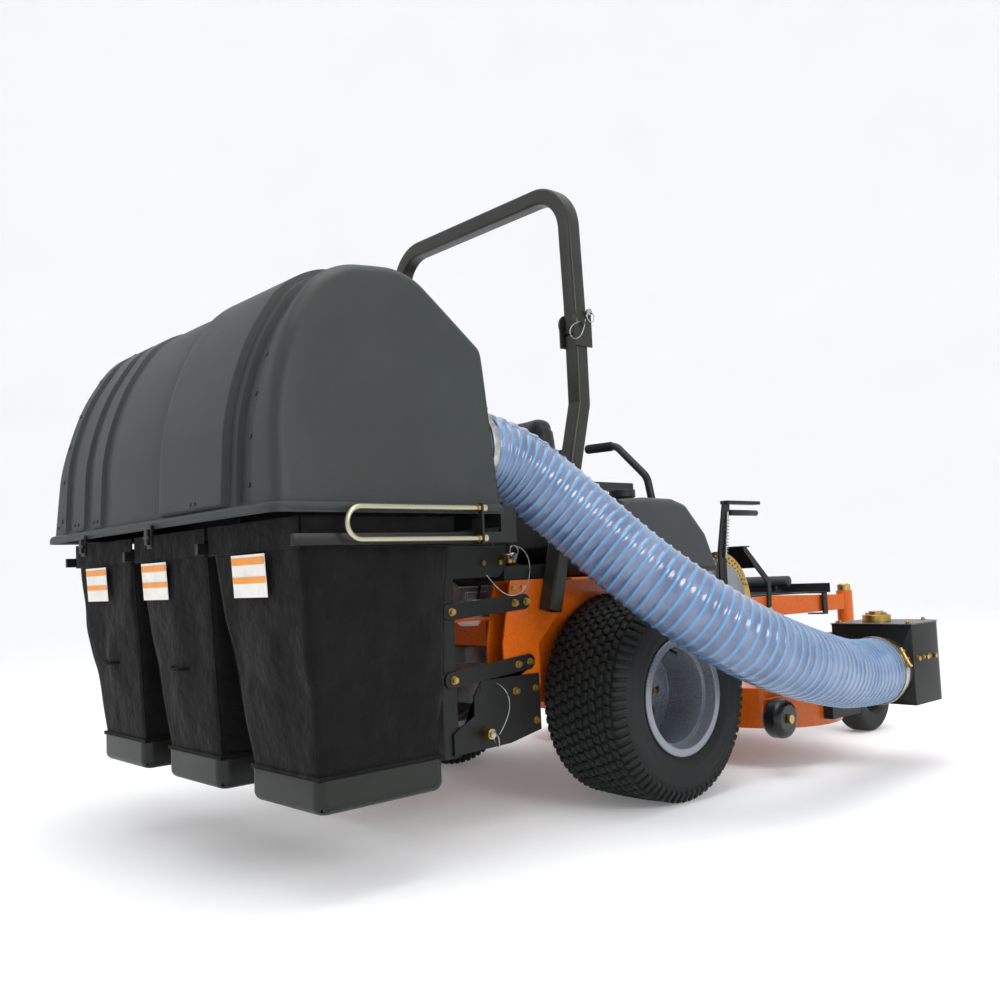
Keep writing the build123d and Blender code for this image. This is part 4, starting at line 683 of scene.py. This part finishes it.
# ---------------------------------------------------------------- bags
def build_bag(label, shift):
    """Sewn bag hung full of air: creased back and sides, sewn corner seams, mesh front and inner side."""
    low, high = 0.262, 0.7703
    shape = bmesh.new()
    bmesh.ops.create_cube(shape, size=1)
    corners = [e for e in shape.edges if abs(e.verts[0].co.z - e.verts[1].co.z) > 0.5]
    rounded(shape, corners, 0.055)
    open_ends = [f for f in shape.faces if abs(f.normal.z) > 0.9]
    bmesh.ops.delete(shape, geom=open_ends, context="FACES")
    for index in range(1, 10):
        for axis in ((1, 0, 0), (0, 1, 0)):
            cut = -0.5 + index / 10
            sliced(shape, Vector(axis) * cut, axis)
    for index in range(1, 22):
        sliced(shape, (0, 0, -0.5 + index / 22), (0, 0, 1))
    for v in shape.verts:
        u, w, t = v.co.x + 0.5, v.co.y + 0.5, v.co.z + 0.5
        left = 0.353 + (0.226 - 0.353) * t
        rear = -1.206 + (-1.236 + 1.206) * t
        front = -0.884 + (-0.828 + 0.884) * t
        x = left + (0.636 - left) * u
        y = rear + (front - rear) * w
        full = sin(pi * min(max(t, 0), 1)) ** 0.8
        out = Vector((0, 0, 0))
        if w < 0.02:
            out.y -= 1
        if w > 0.98:
            out.y += 1
        if u < 0.02:
            out.x -= 1
        if u > 0.98:
            out.x += 1
        belly = sin(pi * u) if abs(out.y) else sin(pi * w)
        spot = Vector((x * 6 + shift * 3.1, y * 6, t * 3.2))
        # hanging folds run down from the rim and fade towards the tray
        hang = noise.noise(Vector((x * 15 + y * 15 + shift * 7, 0.4 * t,
            2.0))) * 0.019 * (0.3 + 0.7 * t) * min(1, (1.02 - t) * 9)
        crease = noise.noise(spot) * 0.013 + noise.noise(spot * 2.3) * 0.007
        swell = full * belly * (0.004 if abs(out.x) else 0.008)
        place = Vector((x, y, low + (high - low) * t))
        if out.length:
            out.normalize()
            place += out * (swell + (hang + crease) * full - 0.003)
        v.co = place + Vector((shift, 0, 0))
    bag = finished(f"hanging_bag_{label}", shape, [bag_cloth, mesh_cloth], f"bag_{label}",
        smooth=180)
    for face in bag.data.polygons:
        inner = face.center.x - shift < 0.372 and face.normal.x < -0.8
        if inner and -1.13 < face.center.y < -0.92 and 0.34 < face.center.z < 0.70:
            face.material_index = 1
        if face.normal.y > 0.8 and 0.32 < face.center.z < 0.70 and 0.31 < face.center.x - shift < 0.60:
            face.material_index = 1
    skin = bag.modifiers.new("cloth", "SOLIDIFY")
    skin.thickness = 0.0022
    skin.offset = -1
    smooth = bag.modifiers.new("drape", "SUBSURF")
    smooth.levels = smooth.render_levels = 1
    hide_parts(f"bag_{label}")
    # bound seams lie on the cloth down its four corners, with a hem over the tray and one on its steel rim
    bpy.context.view_layer.update()
    cloth = bag.evaluated_get(bpy.context.evaluated_depsgraph_get())
    for name, right, back in (("rear_outer", 1, 1), ("rear_inner", 0, 1), ("front_outer", 1, 0),
            ("front_inner", 0, 0)):
        points = []
        for step in range(13):
            t = 0.012 + 0.976 * step / 12
            corner = Vector((0.636 if right else 0.353 - 0.127 * t,
                -1.206 - 0.030 * t if back else -0.884 + 0.056 * t, low + (high - low) * t))
            out = Vector((1 if right else -1, -1 if back else 1, 0)).normalized()
            hit, place, _, _ = cloth.ray_cast(corner + Vector((shift, 0, 0)) + out * 0.05, -out)
            if hit:
                points.append(place / MM - out * 0.8)
        wire(f"bag_seam_{name}_{label}", points, 2.6, piping_cloth, f"bag_{label}", "bag_fabric")
    shape = bmesh.new()
    for z, (x0, x1), (y0, y1), depth in ((766, (226, 638), (-1238, -826), 26),
            (262, (351, 639), (-1209, -881), 8)):
        x0, x1 = x0 + shift * 1000, x1 + shift * 1000
        for x_pair, y_pair in (((x0, x1), (y0, y0 + 4)), ((x0, x1), (y1 - 4, y1)),
                ((x0, x0 + 4), (y0, y1)), ((x1 - 4, x1), (y0, y1))):
            behind = y_pair[1] < -1200 or (label == "right" and x_pair[0] > 600)
            block(shape, x_pair, y_pair, (z - depth if z > 700 else z - 2,
                (z + 41 if behind else z + 12) if z > 700 else z + depth))
    finished(f"bag_hems_{label}", shape, bag_cloth, f"bag_{label}", soft_edge=0.0012)
    # label sewn on the back: plain white with two orange bands
    x0 = {"right": 362, "centre": 362 - 430 - 62, "left": 362 - 860 - 22}[label]
    for part, (z0, z1), tone in (("sheet", (641, 735), label_white),
            ("band_high", (713, 729), label_orange), ("band_low", (672, 686), label_orange)):
        shape = bmesh.new()
        grow = 0 if part == "sheet" else -3
        block(shape, (x0 - grow, x0 + 150 + grow), (0, 1.2), (z0, z1))
        bmesh.ops.subdivide_edges(shape,
            edges=[e for e in shape.edges if abs(e.verts[0].co.x - e.verts[1].co.x) > 0.05], cuts=7,
            use_grid_fill=True)
        for v in shape.verts:
            t = (v.co.z - low) / (high - low)
            lift = 0.0165 if part == "sheet" else 0.0172
            ripple = 0.002 * sin((v.co.x - x0 * MM) * 24) + 0.0012 * sin(v.co.z * 60)
            v.co.y += -1.206 - 0.030 * t - lift + ripple
        finished(f"bag_label_{part}_{label}", shape, tone, f"bag_{label}", smooth=60)
    # lift strap handle on the back
    middle = 1000 * shift + 470
    if label != "right":
        grip = [(middle - 40, -1222, 470), (middle - 34, -1240, 472), (middle, -1246, 468),
            (middle + 34, -1240, 472), (middle + 40, -1222, 470)]
        wire(f"bag_pull_strap_{label}", grip, 5, piping_cloth, f"bag_{label}", "bag_fabric")


# ---------------------------------------------------------------- seat
def swell(shape, reach):
    """Blows a closed cover up with cloth pressure, then limits how far any point may go."""
    cover = linked("cover", to_mesh("cover", shape))
    cover.select_set(True)
    bpy.context.view_layer.objects.active = cover
    even = cover.modifiers.new("even", "REMESH")
    even.mode = "VOXEL"
    even.voxel_size = 0.007
    bpy.ops.object.modifier_apply(modifier="even")
    start = [v.co.copy() for v in cover.data.vertices]
    cloth = cover.modifiers.new("cloth", "CLOTH")
    cloth.settings.use_pressure = True
    cloth.settings.uniform_pressure_force = 4.0
    cloth.settings.effector_weights.gravity = 0.0
    cloth.settings.quality = 4
    for step in range(1, 16):
        bpy.context.scene.frame_set(step)
    blown = cover.evaluated_get(bpy.context.evaluated_depsgraph_get())
    moved = [v.co.copy() for v in blown.data.vertices]
    cover.modifiers.remove(cloth)
    bpy.context.scene.frame_set(1)
    for v, was, now in zip(cover.data.vertices, start, moved):
        step = now - was
        if step.length > reach:
            step = step.normalized() * reach
        v.co = was + step
    made = bmesh.new()
    made.from_mesh(cover.data)
    bpy.data.objects.remove(cover)
    return made


def build_seat():
    """Black vinyl cushion and high back with sewn channels and bolsters."""
    shape = bmesh.new()
    block(shape, (-190, 190), (92, 430), (705, 806))
    rounded(shape, shape.edges[:], 0.03)
    shape = swell(shape, 0.011)
    for v in shape.verts:
        # two channels run fore and aft, and the front edge rolls down
        if v.co.z > 0.76:
            for line in (-0.115, 0.115):
                v.co.z -= 0.009 * max(0, 1 - abs(v.co.x - line) / 0.014)
            v.co.z += 0.006 * min(1, max(0, (abs(v.co.x) - 0.12) / 0.05))
            v.co.z -= 0.018 * max(0, (v.co.y - 0.38) / 0.06)
            v.co.z -= 0.006 * max(0, 1 - abs(v.co.y - 0.30) / 0.012) * (abs(v.co.x) < 0.11)
    cushion = finished("seat_cushion_cover", shape, seat_vinyl, "seat", smooth=180)
    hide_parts("seat_cushion")
    shape = bmesh.new()
    block(shape, (-186, 186), (0, 66), (712, 1172))
    bmesh.ops.subdivide_edges(shape,
        edges=[e for e in shape.edges if abs(e.verts[0].co.z - e.verts[1].co.z) > 0.1], cuts=4)
    for v in shape.verts:
        t = (v.co.z - 0.712) / 0.46
        v.co.y += -0.064 * t ** 1.4 - (0.004 if v.co.y < 0.03 else 0)
        v.co.x *= 1 - 0.20 * max(0, t - 0.45)
    rounded(shape, [e for e in shape.edges if e.calc_face_angle(0) > 0.5], 0.026)
    shape = swell(shape, 0.010)
    for v in shape.verts:
        t = (v.co.z - 0.712) / 0.46
        facing = v.co.y > 0.033 - 0.064 * max(0, t) ** 1.4
        if facing:
            for line in (-0.110, 0.110):
                v.co.y -= 0.008 * max(0, 1 - abs(v.co.x - line) / 0.014)
            v.co.y += 0.008 * min(1, max(0, (abs(v.co.x) - 0.12) / 0.04)) * (0.1 < t < 0.9)
            for line in (0.84, 0.95, 1.06):
                v.co.y -= 0.006 * max(0, 1 - abs(v.co.z - line) / 0.012) * (abs(v.co.x) < 0.105)
    back = finished("seat_back_cover", shape, seat_vinyl, "seat", smooth=180)
    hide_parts("seat_back")
    wire("seat_cushion_piping", [(-190, 100, 728), (-192, 260, 728), (-190, 420, 728), (-150, 441, 726),
        (0, 443, 726), (150, 441, 726), (190, 420, 728), (192, 260, 728), (190, 100, 728)],
         2.4, thread_grey, "seat", "seat_vinyl")


# ---------------------------------------------------------------- fittings
def build_fittings():
    """Bolts, pins, lanyards, dial, grips, engine dress and other small parts."""
    gold = bmesh.new()
    for side in (1, -1):
        face = side * 408
        for y, z in ((-430, 588), (-386, 590), (-655, 576), (-426, 420.5), (-382, 424), (-655, 400),
                (-440, 350), (-365, 350), (-365, 262)):
            hex_bolt(gold, (face, y, z), (side, 0, 0), across=8.6, height=9)
        for y in (-425, -390):
            hex_bolt(gold, (side * 400, y, 628), (side, 0, 0), across=7, height=5)
        for y in (250, 300, 350):
            hex_bolt(gold, (side * 329, y + 440, 505), (side, 0, 0), across=7, height=5)
        for y in (-540, -480):
            hex_bolt(gold, (side * 408, y, 700), (side, 0, 0), across=7, height=5, washer=False)
        for y, z in ((-780, 754), (-780, 824)):
            rod(gold, (side * 680, y - 12, z), (side * 680, y - 4, z), 9, sides=6)
        rod(gold, (side * 436, 1300, 570), (side * 436, 1300, 573), 20, 17)
    finished("gold_zinc_bolts", gold, gold_zinc, "chassis")
    gold = bmesh.new()
    for x, y in ((712, 742), (958, 742), (712, 937), (905, 948)):
        hex_bolt(gold, (x, y, 459), (0, 0, 1), across=6, height=5)
    for y in (750, 790, 830, 870):
        hex_bolt(gold, (970, y, 352), (1, 0, 0), across=6, height=4)
    for angle in range(6):
        a = angle * pi / 3
        hex_bolt(gold, (800 + 33 * cos(a), 838 + 33 * sin(a), 481), (0, 0, 1), across=5.5, height=4,
            washer=False)
    for x, y in ((430, 740), (0, 910), (-430, 740)):
        for angle in range(6):
            a = angle * pi / 3 + 0.4
            hex_bolt(gold, (x + 62 * cos(a), y + 62 * sin(a), 269), (0, 0, 1), across=6.5, height=5)
        hex_bolt(gold, (x, y, 352), (0, 0, 1), across=12, height=8)
    finished("deck_gold_zinc_bolts", gold, gold_zinc, "deck")

    # ringed clevis pins with wire lanyards
    pins = bmesh.new()
    for side in (1, -1):
        rod(pins, (side * 396, -462, 715), (side * 446, -462, 715), 7.5)
        rod(pins, (side * 446, -462, 715), (side * 452, -462, 715), 11, 9)
        ring(pins, (side * 449, -462, 729), (1, 0, 0), 15, 1.5)
        rod(pins, (side * 405, -561, 253), (side * 448, -561, 253), 9)
        ring(pins, (side * 446, -552, 240), (0.4 * side, 1, 0.2), 20, 1.8)
    finished("clevis_pins", pins, bright_zinc, "chassis")
    for side, label in ((1, "right"), (-1, "left")):
        wire(f"pin_lanyard_upper_{label}", [(side * 449, -452, 742), (side * 452, -425, 735),
            (side * 452, -404, 690), (side * 448, -414, 632), (side * 438, -455, 604),
            (side * 424, -500, 622), (side * 410, -530, 668)],
             1.1, bright_zinc, "chassis", "zinc")
        wire(f"pin_lanyard_lower_{label}", [(side * 446, -540, 250), (side * 448, -505, 290),
            (side * 440, -492, 340), (side * 425, -505, 372), (side * 410, -512, 378)],
             1.1, bright_zinc, "chassis", "zinc")
        wire(f"roll_bar_lanyard_{label}", [(side * 461, -141, 1410), (side * 466, -150, 1390),
            (side * 468, -172, 1352), (side * 468, -205, 1340), (side * 467, -222, 1362),
            (side * 466, -196, 1392), (side * 461, -160, 1402)],
             1.2, bright_zinc, "rops_hoop", "zinc")

    # amber film on the roll bar's left leg
    shape = bmesh.new()
    block(shape, (-399.6, -398.8), (-164, -130), (1470, 1500))
    finished("roll_bar_amber_film", shape, label_amber, "rops_hoop", soft_edge=0.0004)

    # tilted dial plate and stop pin on the deck height quadrant
    shape = bmesh.new()
    lathe(shape, [(0, 12), (0, 150), (1.6, 151), (2.4, 150), (2.4, 12)], (347.2, 612, 528), (1, 0, 0),
        steps=72)
    sliced(shape, (0, 0, 0.545), (0, 0, -1), clear_outer=True)
    bmesh.ops.holes_fill(shape, edges=[e for e in shape.edges if e.is_boundary])
    finished("height_dial_plate", shape, dial_grey, "chassis", smooth=40)
    shape = bmesh.new()
    rod(shape, (339, 560, 688), (366, 560, 688), 5)
    ring(shape, (366, 560, 676), (1, 0, 0), 12, 1.4)
    finished("height_stop_pin", shape, bright_zinc, "chassis")

    # lever grip, spring and release rod
    shape = bmesh.new()
    rod(shape, (365, 670, 850), (365, 838, 850), 10.5)
    rounded(shape, end_edges(shape, 1), 0.003, 2)
    finished("release_lever_grip", shape, black_nylon, "height_lever", smooth=40)
    shape = bmesh.new()
    for step in range(12):
        a = Vector((374, 623 + step * 1.9, 702 + step * 11))
        ring(shape, a, (0, 0.17, 1), 6.5, 1.5, steps=16, sides=6)
    rod(shape, (374, 620, 690), (374, 648, 852), 3.2)
    finished("release_spring", shape, bright_zinc, "height_lever")

    # lap bar grips
    for side, label in ((1, "right"), (-1, "left")):
        shape = bmesh.new()
        rod(shape, (side * 30, 310, 1097), (side * 150, 310, 1094), 16.5)
        rounded(shape, end_edges(shape, 0), 0.006)
        finished(f"lap_bar_grip_{label}", shape, grip_foam, f"lap_bar_{label}", smooth=40)

    # grit mat on the floor pan
    shape = bmesh.new()
    block(shape, (-255, 255), (640, 1225), (547, 549))
    rounded(shape, [e for e in shape.edges if abs(e.verts[0].co.z - e.verts[1].co.z) > 0.001], 0.03, 4)
    finished("floor_grit_mat", shape, anti_slip, "chassis")

    # foot bar drum and clamp round the front arm
    shape = bmesh.new()
    rod(shape, (-250, 1215, 590), (250, 1215, 590), 22, sides=32)
    rounded(shape, end_edges(shape, 0), 0.005)
    for side in (1, -1):
        block(shape, sorted((side * 196, side * 204)), (1200, 1230), (547, 586))
    finished("foot_bar", shape, tank_polyethylene, "chassis", smooth=40)
    for side, label in ((1, "right"), (-1, "left")):
        shape = bmesh.new()
        block(shape, sorted((side * 352, side * 424)), (1165, 1195), (542, 547))
        block(shape, sorted((side * 416, side * 424)), (1165, 1195), (468, 547))
        block(shape, sorted((side * 352, side * 424)), (1165, 1195), (463, 468))
        finished(f"arm_clamp_{label}", shape, black_powder, "chassis", soft_edge=0.0015)

    # latches under the hood's rear lip
    for x in (-355, 75):
        shape = bmesh.new()
        block(shape, (x, x + 26), (-1322, -1314), (766, 822))
        block(shape, (x + 4, x + 22), (-1330, -1322), (774, 812))
        rod(shape, (x - 3, -1326, 792), (x + 29, -1326, 792), 4)
        finished(f"hood_latch_{'left' if x < 0 else 'centre'}", shape, black_powder, "hood",
            soft_edge=0.002)

    # engine: cooling screen, air filter, oil filter and plug leads
    shape = bmesh.new()
    for radius in (30, 52, 74, 96):
        ring(shape, (0, -368, 802), (0, 0, 1), radius, 2.4, steps=48)
    for index in range(12):
        a = index * pi / 6
        rod(shape, (26 * cos(a), -368 + 26 * sin(a), 802), (104 * cos(a), -368 + 104 * sin(a), 802), 2,
            sides=8)
    finished("engine_cooling_screen", shape, black_nylon, "chassis")
    shape = bmesh.new()
    rod(shape, (-120, -205, 735), (120, -205, 735), 52, sides=40)
    rounded(shape, end_edges(shape, 0), 0.012)
    for x in (-80, 80):
        ring(shape, (x, -205, 735), (1, 0, 0), 53, 3, steps=40)
    finished("air_filter_canister", shape, black_nylon, "chassis", smooth=40)
    shape = bmesh.new()
    lathe(shape, [(0, 0.5), (0, 34), (6, 38), (70, 38), (80, 32), (84, 20), (84, 0.5)], (180, -430, 560),
        (1, 0.2, 0), steps=40)
    finished("oil_filter", shape, label_white, "chassis", smooth=50)
    for side, label in ((1, "right"), (-1, "left")):
        wire(f"plug_lead_{label}", [(side * 60, -360, 700), (side * 170, -350, 705),
            (side * 232, -400, 680), (side * 244, -410, 630),
            (side * 232, -410, 600)], 4, belt_rubber, "chassis", "belt_rubber")
        wire(f"hydraulic_hose_{label}", [(side * 200, -40, 372), (side * 200, -60, 430),
            (side * 250, -150, 470), (side * 268, -240, 560),
            (side * 280, -262, 652)], 8, belt_rubber, "chassis", "belt_rubber")
        wire(f"damper_{label}", [(side * 316, 396, 640), (side * 316, 470, 610), (side * 316, 560, 580)],
            8, bright_zinc, "chassis", "zinc")
    # bolts on the deck lift straps
    shape = bmesh.new()
    for side in (1, -1):
        for y in (617, 887):
            hex_bolt(shape, (side * 336, y, 470), (side, 0, 0), across=9, height=7)
            hex_bolt(shape, (side * 336, y, 280), (side, 0, 0), across=9, height=7)
    finished("deck_strap_bolts", shape, gold_zinc, "deck")
    # welded lip round the deck's foot
    wire("deck_front_bumper", [(-640, 820, 238), (-560, 985, 238), (-240, 1120, 238), (0, 1158, 238),
        (240, 1120, 238), (560, 985, 238), (640, 820, 238)], 9, orange_powder, "deck", "orange_paint")


build_hose()
band_clamp("lower_hose_clamp", (868, 674, 316), (0, 1, 0), "deck", (0.9, 0, 0.45))
band_clamp("upper_hose_clamp", (520, -667, 985), (0, 1, 0), "chassis", (0.3, 0, 1))
for side, label in ((1, "right"), (-1, "left")):
    build_tyre(side, label)
for label, shift in (("right", 0.0), ("centre", -0.43), ("left", -0.86)):
    build_bag(label, shift)
build_seat()
build_fittings()

for cad_node, material, width in (
    ("main_frame", orange_powder, 2), ("cross_members", orange_powder, 1.5), ("caster_arms", orange_powder,
        2),
    ("caster_fork_right", orange_powder, 2), ("caster_fork_left", orange_powder, 2), ("deck_shell",
        orange_powder, 2),
    ("floor_pan", black_powder, 1), ("seat_base", black_powder, 3), ("seat_pan", black_powder,
        1), ("bagger_links", black_powder, 1.2),
    ("bagger_frame", black_powder, 1.5), ("bagger_bulkhead", black_nylon, 1), ("height_lever",
        black_powder, 1.2),
    ("lift_pedal", black_powder, 1.2), ("spindle_housings", cast_alloy, 2), ("blower_housing",
        black_powder, 3),
    ("blower_cover", rolled_steel, 1.2), ("rops_posts", olive_powder, 0), ("rops_hoop", olive_powder, 0),
    ("lap_bar_right", black_powder, 0), ("lap_bar_left", black_powder, 0), ("fuel_tanks",
        tank_polyethylene, 3),
    ("oil_tank", black_nylon, 3), ("fuel_cap_right", black_nylon, 2), ("fuel_cap_left", black_nylon, 2),
    ("armrest_right", seat_vinyl, 5), ("armrest_left", seat_vinyl, 5), ("roller_right", roller_rubber,
        0), ("roller_left", roller_rubber, 0),
    ("engine_shroud", engine_enamel, 4), ("engine_block", cast_alloy, 1), ("hydro_drives", cast_alloy,
        3), ("muffler", heat_steel, 1),
    ("drive_rim_right", silver_enamel, 1.2), ("drive_rim_left", silver_enamel, 1.2),
    ("chassis_hardware", gold_zinc, 0.8), ("deck_hardware", gold_zinc, 0.8), ("guard_rods", pale_zinc, 0),
    ("height_sector", gold_zinc, 0.6), ("rops_pin_right", bright_zinc, 0.5), ("rops_pin_left", bright_zinc,
        0.5),
    ("blade_right", ground_steel, 1), ("blade_centre", ground_steel, 1), ("blade_left", ground_steel,
        1), ("impeller", ground_steel, 1),
    ("caster_wheel_right", tyre_rubber, 0), ("caster_wheel_left", tyre_rubber, 0), ("deck_belt",
        belt_rubber, 0.8),
    ("tray_right", tray_polyethylene, 2), ("tray_centre", tray_polyethylene, 2), ("tray_left",
        tray_polyethylene, 2),
):
    eased_copy(cad_node, material, width)
